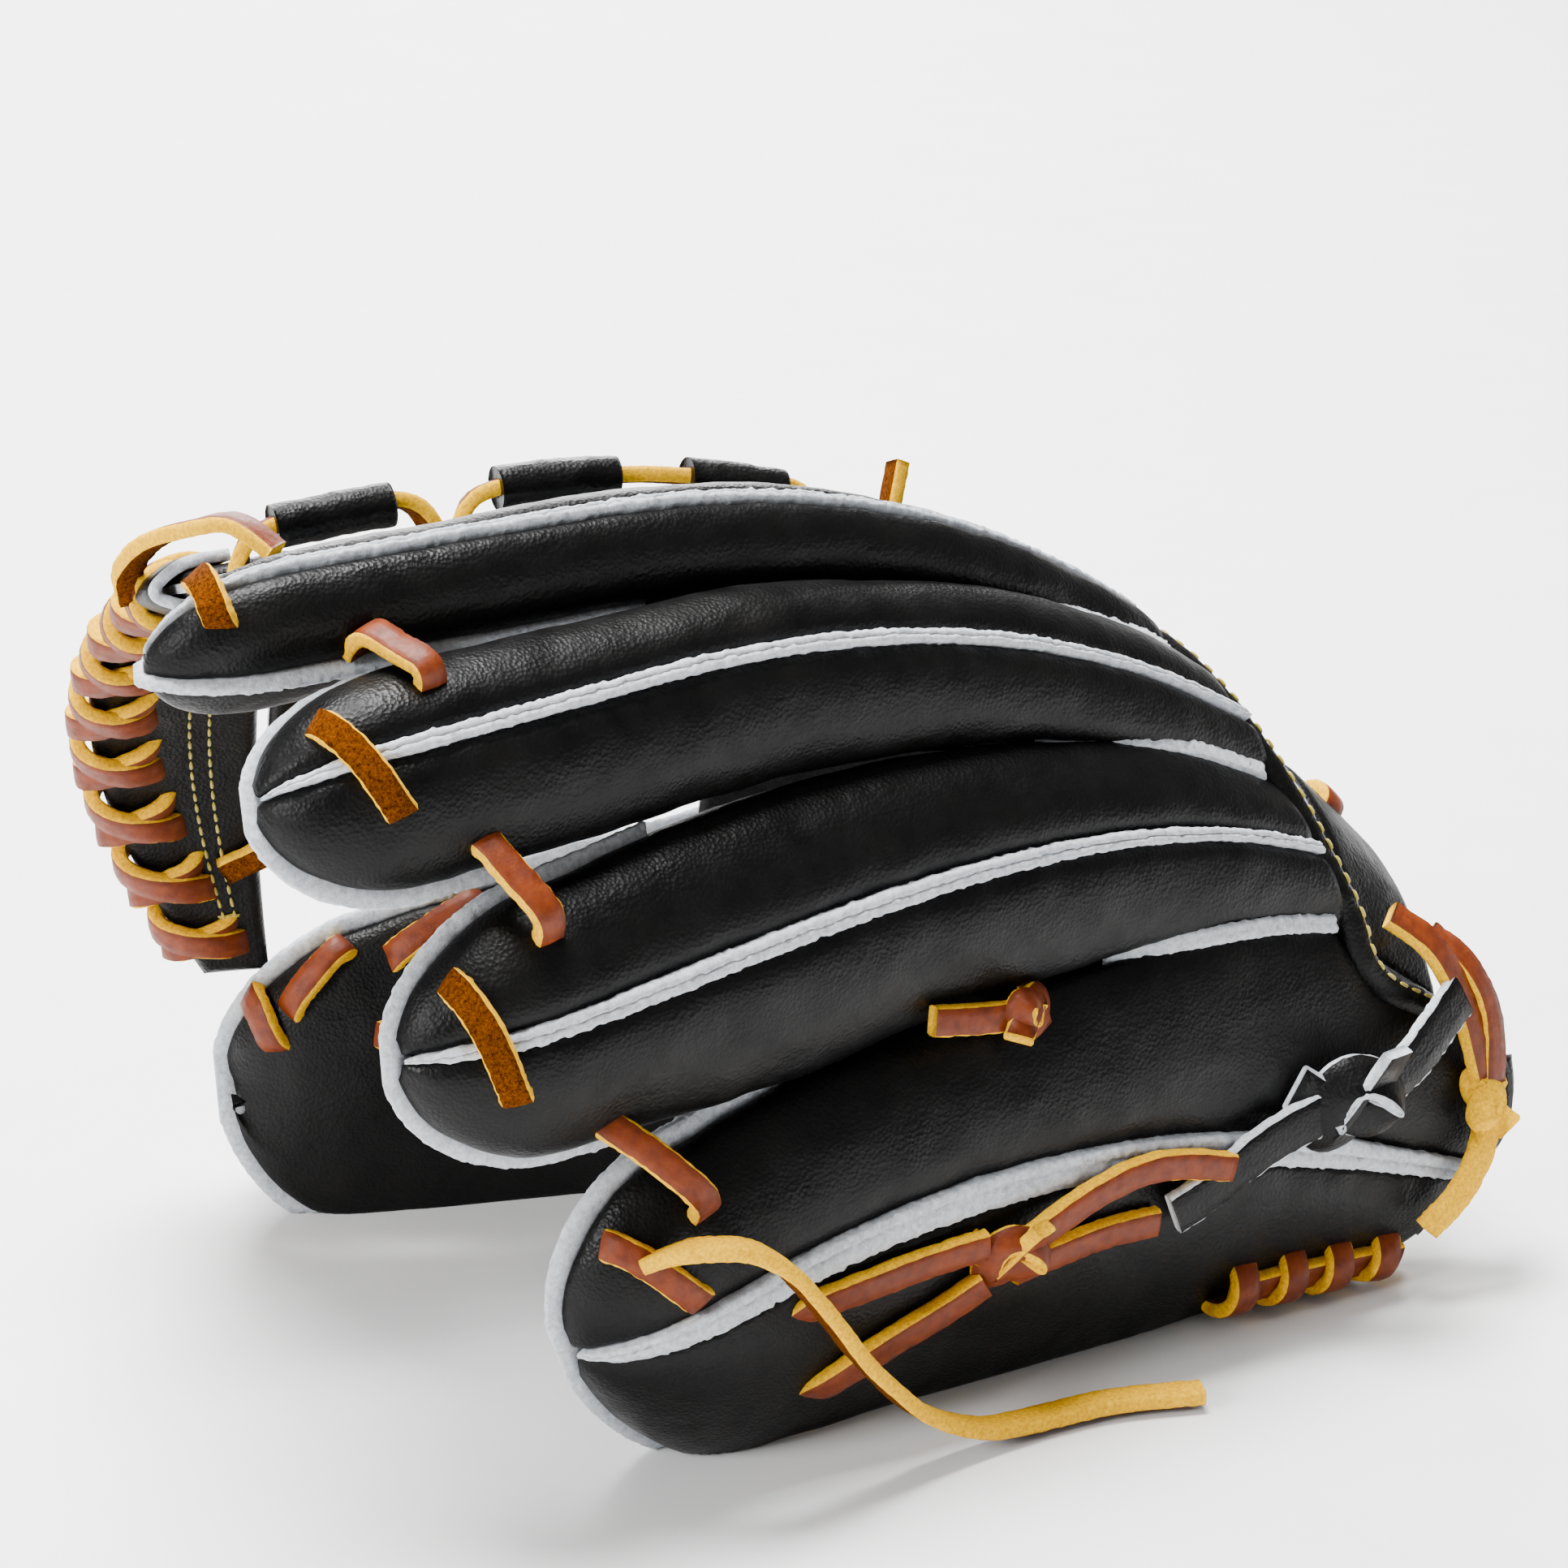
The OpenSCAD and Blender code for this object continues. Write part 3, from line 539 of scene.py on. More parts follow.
def frames(path, ups):
    """Directions ahead, sideways and up at each point of a path."""
    ahead = unit(np.gradient(path, axis=0))
    side = unit(np.cross(ahead, ups))
    return ahead, side, np.cross(side, ahead)


# Outline of a lace across its width and thickness, with a material for each side
LACE_OUTLINE = np.array(
    [
        (-0.5, 0.25), (-0.44, 0.5), (-0.15, 0.54), (0.15, 0.54), (0.44, 0.5), (0.5, 0.25),
        (0.5, -0.25), (0.44, -0.5), (0.15, -0.5), (-0.15, -0.5), (-0.44, -0.5), (-0.5, -0.25),
    ]
)  # fmt: skip
LACE_SIDES = np.array([1, 0, 0, 0, 1, 1, 1, 2, 2, 2, 1, 1])


def lace_end(base, turn):
    """Faces that close a lace's end, from the first point of its outline there."""
    n = len(LACE_OUTLINE)
    pairs = [(i, n - 1 - i) for i in range(n // 2)]
    steps = zip(pairs, pairs[1:])
    return [[base + a, base + c, base + d, base + b][::turn] for (a, b), (c, d) in steps]


def lace_parts(path, ups, w, t):
    """Points, faces and sides of a lace w wide and t thick, a little ragged."""
    path = np.asarray(path, float)
    _, side, up = frames(path, ups)
    ragged = 1 + 0.05 * noise3(path / 1.3)
    spread = 9 * LACE_OUTLINE @ np.array([[1, 0, 0], [0, 1, 0]])
    rough = 0.10 * noise3((path[:, None] + spread) / 0.9)
    outline = LACE_OUTLINE[None] * (1 + rough[..., None] * 0.6)
    rings = (
        path[:, None]
        + outline[..., :1] * w * ragged[:, None, None] * side[:, None]
        + outline[..., 1:] * t * up[:, None]
    )
    rows, n = rings.shape[:2]
    ends = lace_end(0, 1) + lace_end((rows - 1) * n, -1)
    faces = np.concatenate([grid_faces(rows, n, wrap=True), np.array(ends)])
    slots = np.concatenate([np.tile(LACE_SIDES, rows - 1), np.ones(len(ends), int)])
    return rings.reshape(-1, 3), faces, slots


def lace(name, runs, w=LACE_W, t=LACE_T, sides=("face", "edge", "suede")):
    """A lace in one or more runs, each a path and the directions its face looks in."""
    points, faces, slots = join([lace_parts(path, ups, w, t) for path, ups in runs])
    return build(name, points, faces, sides, slots)


RUN_STEPS, EDGE_STEPS, TURN_STEPS = 10, 20, 28


def arch_run(stations):
    """Path and directions of a lace through stations [x, a, h] over the arch."""
    s = smooth(stations, RUN_STEPS)
    return over(s[:, 0], s[:, 1], s[:, 2]), normal(s[:, 0], s[:, 1])


def finger_run(k, stations):
    """Path and directions of a lace through stations [t, th, h] on a finger."""
    s = smooth(stations, RUN_STEPS)
    at = [finger(k, s[:, 0], s[:, 1], s[:, 2] + lift) for lift in (0, 2, -2)]
    return at[0], at[1] - at[2]


def winding_run(centres, turns, rx, ra, rh, phase=0.0, hand=1):
    """Lace wound round an edge whose middle runs through centres [x, a, h].

    It reaches rx along the glove or ra across it, and rh out and in.
    """
    n = int(turns * TURN_STEPS)
    c = smooth(centres, EDGE_STEPS)
    f = np.linspace(0, 1, n + 1) * (len(c) - 1)
    s = np.stack([np.interp(f, np.arange(len(c)), c[:, i]) for i in range(3)], -1)
    b = hand * (np.arange(n + 1) * 360 / TURN_STEPS + phase)
    x = s[:, 0] - rx * cos_d(b)
    a = s[:, 1] - ra * cos_d(b) * deg_per_mm(x, s[:, 1])
    path = over(x, a, s[:, 2] + rh * sin_d(b), LACE_W * 0.6)
    return path, path - over(s[:, 0], s[:, 1], s[:, 2])


# Overhand knot: ahead, sideways and up
OVERHAND = np.array(
    [(t**3 - 3 * t, t**4 - 4 * t**2 + 2, t**5 / 5 - 2 * t) for t in np.linspace(-2.05, 2.05, 60)]
)


def knot_run(at, ahead, up, size, rise):
    """Overhand knot round a place, drawn out along ahead and flattened against up."""
    ahead = unit(np.asarray(ahead, float) - np.dot(ahead, up) * up)
    side = np.cross(up, ahead)
    loop = OVERHAND[:, :1] * ahead + 0.75 * OVERHAND[:, 1:2] * side
    path = at + size * loop + rise * OVERHAND[:, 2:] * up
    tilt = unit(np.stack([OVERHAND[:, 0], OVERHAND[:, 1], np.full(len(path), 2.2)], -1))
    return path, tilt[:, :1] * ahead + tilt[:, 1:2] * side + tilt[:, 2:] * up


def tube_rings(path, ups, radius, sides):
    """Rings of points round a path. radius is one number or one a point."""
    _, side, up = frames(path, ups)
    b = np.arange(sides) * 360 / sides
    r = np.broadcast_to(radius, len(path))[:, None, None]
    across_b, up_b = cos_d(b)[None, :, None], sin_d(b)[None, :, None]
    return path[:, None] + r * (across_b * side[:, None] + up_b * up[:, None])


TUBE_SIDES = 24


def tube(name, path, ups, radius, material, waves):
    """Closed round tube with a wavy skin, kept above the ground."""
    rings = tube_rings(path, ups, radius, TUBE_SIDES)
    away = unit(rings - path[:, None])
    rings = rings + waves * fractal(rings / 3.0)[..., None] * away
    rings[..., 2] = np.maximum(rings[..., 2], 0.0)
    size = len(path) * TUBE_SIDES
    here = np.arange(TUBE_SIDES)
    after = (here + 1) % TUBE_SIDES
    faces = grid_faces(len(path), TUBE_SIDES, wrap=True).tolist()
    for first, tip, turn in ((0, size, 1), (size - TUBE_SIDES, size + 1, -1)):
        faces += [[int(first + a), int(first + b), tip][::turn] for a, b in zip(here, after)]
    points = np.concatenate([rings.reshape(-1, 3), path[:1], path[-1:]])
    return add_mesh(name, points, faces, (material,))


STITCH_STEPS, STITCH_SIDES = 7, 6


def stitches(name, rows, pitch, length, radius):
    """Rows of single stitches that dip into the leather at both ends. A row is (path, ups)."""
    points, faces = [], []
    u = np.linspace(-1, 1, STITCH_STEPS)
    size = STITCH_STEPS * STITCH_SIDES
    for path, ups in rows:
        both = even(np.concatenate([path, unit(ups)], 1), pitch)
        ahead, _, up = frames(both[:, :3], both[:, 3:])
        for at, forward, out in zip(both[:, :3], ahead, up):
            bow = at + (u * length / 2)[:, None] * forward + ((0.55 - u**4) * radius)[:, None] * out
            outs = np.tile(out, (STITCH_STEPS, 1))
            rings = tube_rings(bow, outs, radius * np.sqrt(1.05 - u**4), STITCH_SIDES)
            faces.append(grid_faces(STITCH_STEPS, STITCH_SIDES, len(points) * size, wrap=True))
            points.append(rings.reshape(-1, 3))
    return build(name, np.concatenate(points), np.concatenate(faces), ("thread",))


# ---------- how pieces ride on the CAD ----------


def settle(obj, node):
    """The piece stands for the CAD node and moves with its body."""
    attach(obj, frame["nodes"][node]["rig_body"])
    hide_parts(node)
    return obj


def trim(obj, node):
    """A detail without a CAD node of its own moves with the body of the node that carries it."""
    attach(obj, frame["nodes"][node]["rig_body"])
    return obj


# ---------- fingers ----------

# Half width of a seam and mm of girth a degree, round a finger
SEAM, GIRTH = 4, 0.32
T_CAP = np.linspace(-80, 0, 26)[:-1]
T_BODY = np.linspace(0, 1, 120)


def rumple(p, big=0.55, small=0.18):
    """Soft waves of worn-in leather, in mm."""
    return big * fractal(p / 26, 2) + small * fractal(p / 6 + 31, 3)


def puckers(along, depth, reach, pitch):
    """Little folds that run away from a seam: along it in mm, and depth mm from it."""
    p = np.stack(np.broadcast_arrays(along / pitch, depth / 11, 0.5), -1)
    return np.exp(-depth / reach) * noise3(p + 40)


def back_half(k, th0, th1):
    """Outer and inner grid of the leather between a back's centre welt and one of its edges."""
    t = np.concatenate([T_CAP, T_BODY])[:, None]
    th = np.linspace(th0, th1, 34)[None]
    base = finger(k, t, th)
    from_welt = np.abs(th - 90) - SEAM
    from_edge = np.minimum(th, 180 - th) - SEAM
    steps = np.linalg.norm(np.diff(base[:, 10], axis=0, prepend=base[:1, 10]), axis=1)
    along = np.cumsum(steps)[:, None]
    pillow = 0.9 - 1.9 * np.exp(-from_welt * GIRTH / 1.6) - 1.6 * np.exp(-from_edge * GIRTH / 1.6)
    welt_folds = puckers(along, from_welt * GIRTH, 4, 4.5)
    edge_folds = puckers(along, from_edge * GIRTH, 5, 7)
    folds = 0.35 * welt_folds + 0.7 * edge_folds
    h = pillow + folds + rumple(base)
    return finger(k, t, th, h), np.maximum(finger(k, t, th, h - LEATHER), [-1e9, -1e9, 0.3])


def finger_back(k):
    node = f"{NAMES[k]}_back"
    halves = [back_half(k, SEAM, 90 - SEAM), back_half(k, 90 + SEAM, 180 - SEAM)]
    return settle(slab(f"{node}_leather", halves), node)


def fuzz(points, size):
    """Ragged cut-leather surface."""
    shift = np.stack([fractal(points / 1.1 + 13 * i, 2) for i in range(3)], -1)
    return points + size * shift


def centre_welt(k):
    """Two white plies side by side along the middle of a finger's back."""
    node = f"{NAMES[k]}_back_welt"
    t = np.concatenate([np.linspace(-76, 0, 60)[:-1], np.linspace(0, 1, 420)])[:, None]
    th = 90 + np.array([-4.1, -3.8, -2.0, -0.4, 0, 0.4, 2.0, 3.8, 4.1])[None]
    lift = np.array([-0.4, 0.9, 1.35, 1.2, 0.85, 1.2, 1.35, 0.9, -0.4])[None]
    outer = fuzz(finger(k, t, th, lift), 0.28)
    return settle(slab(f"{node}_strip", [(outer, finger(k, t, th, -LEATHER))], ("rawhide",)), node)


# How far along a finger's low and high side its edge welt reaches
EDGE_REACH = {
    INDEX: (0.35, 0.55), MIDDLE: (0.1, 0.2), RING: (0.08, 0.15),
    PINKY: (0.3, 0.15), THUMB: (0.35, 0.6),
}  # fmt: skip
# Outline of an edge welt: out of the seam, and up from its middle
EDGE_IN, EDGE_OUT = -2, 3.1
EDGE_PLY = np.array(
    [
        (EDGE_OUT, 0.15), (2.9, 0.8), (1.4, 1.0), (EDGE_IN, 0.9),
        (EDGE_IN, -0.9), (1.4, -1.0), (2.9, -0.8), (EDGE_OUT, -0.15),
    ]
)  # fmt: skip


def edge_welt(k):
    """Welt standing out of a finger's seam: up the low side, round the tip, down the high side."""
    node = f"{NAMES[k]}_edge_welt"
    low_t, high_t = EDGE_REACH[k]
    turn = np.linspace(-1, -80, 60)
    t = np.concatenate([np.linspace(low_t, 0, 200), turn, turn[::-1], np.linspace(0, high_t, 200)])
    th = np.where(np.arange(len(t)) < 260, 180.0, 0.0)
    inner, outer = finger(k, t, th, EDGE_IN), finger(k, t, th, EDGE_OUT)
    a = finger_angle(k, inner[:, 0] + MIDDLE_X, th, 1, 0)
    up = normal(inner[:, 0] + MIDDLE_X, a)
    share = (EDGE_PLY[:, 0] - EDGE_IN) / (EDGE_OUT - EDGE_IN)
    rings = mix(inner[:, None], outer[:, None], share[None, :, None])
    rings = fuzz(rings + EDGE_PLY[None, :, 1:] * up[:, None], 0.22)
    rings[..., 2] = np.maximum(rings[..., 2], 0.05)
    faces = grid_faces(len(t), len(EDGE_PLY), wrap=True)
    return settle(build(f"{node}_strip", rings, faces, ("rawhide",)), node)


CROTCHES = ((INDEX_MIDDLE, 26, 75), (MIDDLE_RING, 38, 87), (RING_PINKY, 46, 97))


def crotch_welts():
    """Welts between the backs, which rise out of the seam towards the wrist."""
    parts = []
    for l, x0, x1 in CROTCHES:
        x = np.linspace(x0, x1, 160)[:, None]
        mm = np.array([-1.9, -1.7, -0.9, 0, 0.9, 1.7, 1.9])[None]
        a = line(l, x) + mm * deg_per_mm(x, line(l, x))
        depth = -mix(SEAM_DEPTH, BACK_FLAT, np.clip(x / CUFF_X, 0, 1))
        rise = np.clip((x - x0) / 22, 0, 1) ** 0.7
        lift = np.array([2.2, 3.2, 3.6, 3.3, 3.6, 3.2, 2.2])[None] * mix(0.15, 1, rise)
        parts.append((fuzz(over(x, a, depth + lift), 0.28), over(x, a, depth)))
    return settle(slab("crotch_welt_strips", parts, ("rawhide",)), "crotch_welts")


def palm_end(k):
    """Station where the palm side of a finger ends."""
    return HEEL_FRONT - 1 if k >= PINKY else PALM_X


def finger_front(k):
    node, end = f"{NAMES[k]}_palm", palm_end(k)
    t = np.concatenate([T_CAP, np.linspace(0, 1, 90)])[:, None]
    th = np.linspace(180 + SEAM, 360 - SEAM, 56)[None]
    base = finger(k, t, th, 0, end)
    from_edge = np.minimum(th - 180, 360 - th) - SEAM
    h = 0.4 - 1.4 * np.exp(-from_edge * GIRTH / 1.6) + rumple(base, 0.5, 0.2)
    inner = np.maximum(finger(k, t, th, h - LEATHER, end), [-1e9, -1e9, 0.3])
    return settle(slab(f"{node}_leather", [(finger(k, t, th, h, end), inner)], ("palm",)), node)


STALL_LENGTH, STALL_GIRTH = 160, 0.3


def within(v, ends):
    """How far v lies inside two ends."""
    return np.minimum(v - ends[0], ends[1] - v)


def stall_layer(k, end, depth, thickness, t_ends, th_ends, waves):
    """A soft layer inside a finger's palm side, depth under its surface."""
    t = np.linspace(*t_ends, 60)[:, None]
    th = np.linspace(*th_ends, 34)[None]
    h = -depth + waves * fractal(finger(k, t, th, -depth, end) / 9, 3)
    edge = np.minimum(within(t, t_ends) * STALL_LENGTH, within(th, th_ends) * STALL_GIRTH)
    full = thickness * np.sqrt(np.clip(edge / (thickness * 0.6), 0.05, 1))
    middle = h - thickness / 2
    return finger(k, t, th, middle + full / 2, end), finger(k, t, th, middle - full / 2, end)


UNDER_LEATHER = LEATHER + SKIN_GAP
UNDER_FELT = UNDER_LEATHER + FELT + SKIN_GAP


def felt_pad(k, node):
    layer = stall_layer(k, palm_end(k), UNDER_LEATHER, FELT, (0.05, 0.8), (215, 325), 0.15)
    obj = settle(slab(f"{node}_pad", [layer], ("felt",)), node)
    return obj


def linings():
    padded = (MIDDLE, PINKY, THUMB)
    parts = []
    for k in range(len(FINGERS)):
        depth = UNDER_FELT if k in padded else UNDER_LEATHER
        parts.append(stall_layer(k, palm_end(k), depth, LINING, (0.05, 0.97), (208, 332), 0.2))
    settle(slab("finger_linings_leather", parts[:THUMB], ("lining",)), "finger_linings")
    settle(slab("thumb_lining_leather", parts[THUMB:], ("lining",)), "thumb_lining")


# ---------- sheets over the arch ----------


WAVES = (0.4, 0.15)


def sheet(name, x, a, h_mid, thickness, soft, materials, waves=WAVES):
    """Leather round the depth h_mid, over grids of stations and angles, rounded soft mm in."""
    base = over(x, a, h_mid)
    rows = np.cumsum(np.linalg.norm(np.diff(base, axis=0, prepend=base[:1]), axis=-1), axis=0)
    cols = np.cumsum(np.linalg.norm(np.diff(base, axis=1, prepend=base[:, :1]), axis=-1), axis=1)
    edge = np.minimum(np.minimum(rows, rows[-1:] - rows), np.minimum(cols, cols[:, -1:] - cols))
    full = thickness * np.sqrt(np.clip(1 - (1 - np.clip(edge / soft, 0, 1)) ** 2, 0.12, 1))
    h = h_mid + rumple(base, *waves)
    return slab(name, [(over(x, a, h + full / 2), over(x, a, h - full / 2))], materials)


def field(x0, x1, a0, a1, rows, cols):
    return np.meshgrid(np.linspace(x0, x1, rows), np.linspace(a0, a1, cols), indexing="ij")


def fold_field(x0, x1, rows, cols, low_gap=FOLD_GAP, high_gap=FOLD_GAP):
    """Grid over the web's body, from one fold line to the other."""
    x = np.linspace(x0, x1, rows)[:, None]
    low = line(INDEX_WEB, x) + low_gap
    high = np.maximum(line(THUMB_WEB, x), THUMB_TOP) - high_gap
    f = np.linspace(0, 1, cols)[None]
    return np.broadcast_to(x, (rows, cols)), mix(low, high, f)


def crown_out(a):
    return -111 - 4 * sin_d((a - 104) * 2.6) + 17 * (np.maximum(0, a - 130) / 35) ** 2


def crown_in(a):
    return mix(-90, -76, (a - 104) / 60)


def crown_place(f, a):
    return mix(crown_in(a), crown_out(a), f)


WEB_MID = -WEB_DEPTH - WEB_T / 2
FOLDED = ("leather", "rawhide")
WEB_SOFT = 2.4
INNER_BAR = (-40, -14)
CROWN_A, BAR_A, PANEL_A, SEAM_A = (105, 172), (105, 156), (110, 156), (114, 166)
RIB_H, RIB_TURN = 0.9, 30
TAB_A, TAB_W = 109, 11
STRAP_T, STRAP_SIDES = 2.2, ("leather", "rawhide", "leather")


def on_web(x, a, side):
    """Points on the outer (1) or inner (-1) skin of the web's leather, and the ways they look."""
    h = WEB_MID + side * (WEB_T / 2 + 0.15) + rumple(over(x, a, WEB_MID), *WAVES)
    return over(x, a, h), side * normal(x, a)


def web_seams():
    """Stitch rows through the web's bars. They show on both faces."""
    near, far = 0.42, 0.30
    crown, bar = np.linspace(*SEAM_A, 60), np.linspace(108, 150, 60)
    turn = float(SEAM_A[1])
    rows = []
    for side in (1, -1):
        rows += [on_web(crown_place(f, crown), crown, side) for f in (near, far)]
        rows.append(on_web(crown_place(np.linspace(near, far, 6), turn), np.full(6, turn), side))
        rows += [on_web(x + 0 * bar, bar, side) for x in (-36, -33, -21, -18)]
    trim(stitches("web_stitches", rows, 3.0, 2.1, 0.34), "web_crown_bar")


def web_sheet(node, name, x, a, h_mid=WEB_MID, thickness=WEB_T):
    settle(sheet(name, x, a, h_mid, thickness, WEB_SOFT, FOLDED), node)


def web():
    f = np.linspace(0, 1, 40)[:, None]
    a = np.linspace(*CROWN_A, 170)[None]
    web_sheet("web_crown_bar", "web_crown_leather", crown_place(f, a), a + 0 * f)
    web_sheet("web_inner_bar", "web_inner_leather", *field(*INNER_BAR, *BAR_A, 30, 110))
    a = np.linspace(*PANEL_A, 110)[None]
    x = mix(INNER_BAR[0] - 1, crown_in(a) + 2, f)
    ribs = RIB_H * sin_d((x - INNER_BAR[0]) * RIB_TURN)
    web_sheet("web_cross_bar", "web_cross_leather", x, a + 0 * f, WEB_MID + ribs - 0.6, WEB_T - 1)
    web_sheet("web_base", "web_base_leather", *fold_field(-8, 72, 80, 90))
    web_seams()


def corner_tab():
    """Leather folded round the crown bar's outer edge, beside the index finger."""
    rise = WEB_T / 2 + 1.2
    fold = smooth([[11, rise], [2, rise], [-4, 0], [2, -rise], [11, -rise]], 8)
    path = over(crown_out(TAB_A) + fold[:, 0], TAB_A, fold[:, 1] + WEB_MID)
    wide = across(crown_out(TAB_A), np.array(float(TAB_A)))
    ups = np.cross(wide, np.gradient(path, axis=0))
    strip = lace("index_corner_leather", [(path, ups)], TAB_W, STRAP_T, STRAP_SIDES)
    settle(strip, "index_corner_tab")


WHIP_TURNS, WHIP_IN = 8, 4.5


def whip_lace():
    """Lace whipped round the crown bar's outer edge one way and back the other way."""
    centres = [[crown_out(a) + WHIP_IN, a, WEB_MID] for a in (112, 121, 131, 141, 151, 161, 169)]
    snug = WEB_T / 2 + LACE_T / 2 + 0.2
    runs = [
        winding_run(centres, WHIP_TURNS, 7.5, 0, snug),
        winding_run(centres, WHIP_TURNS, 7.2, 0, snug + 0.9, phase=180, hand=-1),
    ]
    settle(lace("web_edge_whip_lace", runs), "web_edge_lace")


TUBES = [(-94, -72), (-52, -29), (-15, 4)]
TUBE_A = 104


def lace_tubes():
    """Leather rolled round the lace between the web and the index finger."""
    for i, (x0, x1) in enumerate(TUBES):
        x = np.linspace(x0, x1, 40)
        a = TUBE_A + 0 * x
        path = over(x, a, -2.5)
        obj = tube(f"web_lace_tube_{i}", path, normal(x, a), TUBE_D / 2, "leather", 0.18)
        trim(obj, "web_lace_tubes")
        if i == 0:
            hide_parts("web_lace_tubes")


INDEX_LACE = [
    (-102, 105, -14), (-97, 104, -3), (-70, 104, -2), (-62, 105, -13), (-55, 104, -3),
    (-27, 104, -2), (-16, 104, -2), (7, 104, -2), (14, 105, -13),
]  # fmt: skip
CORNER_LACE = [
    (-116, 114, -9), (-117, 111, -4), (-114, 107, -0.5),
    (-109, 103, 0.5), (-103, 99.5, 0.5), (-98, 97, -5),
]  # fmt: skip
SIDE_LACE = [(-84, 161, -13), (-70, 158, -14), (-50, 156, -14), (-30, 152, -14), (-10, 150, -14)]


def web_laces():
    whip_lace()
    lace_tubes()
    stand = over(28, 108, np.linspace(-8, 10, 16))
    runs = [arch_run(INDEX_LACE), (stand, np.tile([1.0, 0.2, 0.0], (16, 1)))]
    settle(lace("web_index_lace_strip", runs, LACE_W - 1), "web_index_lace")
    settle(lace("thumb_side_lace_strip", [arch_run(SIDE_LACE)]), "thumb_side_lace")
    corner_tab()
    settle(lace("index_corner_lace_strip", [arch_run(CORNER_LACE)]), "index_corner_lace")


# ---------- palm, heel and wrist ----------


def heel_field(a0, a1, rows, cols):
    a = np.linspace(a0, a1, cols)[None]
    return mix(HEEL_FRONT, heel_end(a) - 4, np.linspace(0, 1, rows)[:, None]), np.tile(a, (rows, 1))


def heels():
    for node, a0, a1, cols in (("pinky_heel", -22, 78, 110), ("thumb_heel", 114, 180, 80)):
        x, a = heel_field(a0, a1, 26, cols)
        h = -HEEL_DEPTH - LEATHER / 2
        settle(sheet(f"{node}_leather", x, a, h, LEATHER, 1.5, ("palm",)), node)


POCKET_X, POCKET_ROWS, BEND_X = (6, 100), 80, 50.0


def palm_half(side, a, fold, inward):
    """Half of the pocket's leather, left where it is made; it is tied to neither the web nor the
    body.
    """
    x = np.broadcast_to(np.linspace(*POCKET_X, POCKET_ROWS)[:, None], a.shape)
    h = -STALL_DEPTH + LEATHER / 2
    obj = sheet(f"palm_pocket_{side}_side", x, a, h, LEATHER, 1.0, ("palm",), (0.5, 0.15))
    start, end = over(BEND_X, fold, h) * MM, over(BEND_X, fold + inward, h) * MM
    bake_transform(obj)
    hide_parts("palm_pocket")


def palm_leather():
    """The pocket's leather, in two halves that reach over both fold lines."""
    f = np.linspace(0, 1, 60)[None]
    for side in ("index", "thumb"):
        gaps = (-1.0, FOLD_GAP) if side == "index" else (FOLD_GAP, -1.0)
        _, a = fold_field(*POCKET_X, POCKET_ROWS, 90, *gaps)
        low, high = a[:, :1], a[:, -1:]
        middle = (low + high) / 2
        if side == "index":
            palm_half(side, mix(low, middle, f), float(line(INDEX_WEB, BEND_X)), 10)
        else:
            fold = max(float(line(THUMB_WEB, BEND_X)), THUMB_TOP)
            palm_half(side, mix(middle, high, f), fold, -10)


BINDING_R = 3.1


def binding(node, stations, turn):
    """Rolled edge through stations [x, a, h] with a row of stitches turn degrees round it."""
    s = even(smooth(stations, 12), 0.9)
    path, ups = over(s[:, 0], s[:, 1], s[:, 2], 3), normal(s[:, 0], s[:, 1])
    settle(tube(f"{node}_roll", path, ups, BINDING_R, "leather", 0.22), node)
    _, side, up = frames(path, ups)
    away = cos_d(turn) * side + sin_d(turn) * up
    rows = [(path + away * BINDING_R, away)]
    trim(stitches(f"{node}_stitches", rows, 3.6, 2.5, 0.36), node)


def wrist():
    h = -BACK_FLAT + LEATHER / 2
    backs = [(float(wrist_end(np.array(a))) + 2, a, h) for a in (96, 85, 71, 59, 47, 37)]
    side_panel = [(x, a, h) for x, a in ((104, 29), (109, 26), (118, 26), (128, 26), (135, 26))]
    binding("wrist_binding", backs + side_panel, 112)
    heels_at = {"pinky": (25, 16, 7, -4, -15, -24), "thumb": (146, 157, 168, 178)}
    for half, angles in heels_at.items():
        stations = [(float(heel_end(np.array(a))) + 1, a, -BACK_FLAT) for a in angles]
        binding(f"{half}_heel_binding", stations, 60)


STRAP_RISE = -6


def strap_tab(node, a0, a1, joint_a, meet_a):
    """Half of the wrist strap: it reaches the lace on the web's body."""
    x, a = field(107, 127, a0, a1, 24, 60)
    obj = sheet(f"{node}_leather", x, a, STRAP_RISE - LEATHER / 2, LEATHER, 2.2, FOLDED)
    start, end = over(118, joint_a, STRAP_RISE) * MM, over(118, meet_a, STRAP_RISE) * MM
    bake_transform(obj)
    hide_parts(node)


def straps():
    strap_tab("pinky_wrist_strap", 33, 92, 78, 90)
    strap_tab("thumb_wrist_strap", 95, 140, 110, 97)
    ways = [(118, a, h) for a, h in ((86, -10), (88, -6), (93, -4.4), (98, -6), (100, -10))]
    settle(lace("strap_lace_strip", [arch_run(ways)]), "strap_lace")


# ---------- laces on the fingers ----------

LACE_ARC = [(0, -3.5), (0.06, 0.4), (0.2, 1.9), (0.5, 2.3), (0.8, 1.9), (0.94, 0.4), (1, -3.5)]
ROUGH_SIDE_OUT = ("suede", "edge", "face")


def laced(start, stop):
    """Stations of a lace through two holes, from one place on a finger to another."""
    return [(*mix(np.array(start, float), np.array(stop, float), f), h) for f, h in LACE_ARC]


TIP_WAYS = {
    INDEX: ((-34, 45), (-30, 130)),
    MIDDLE: ((-40, 55), (-13, 120)),
    RING: ((-44, 38), (-24, 120)),
    PINKY: ((-40, 28), (-16, 82)),
}


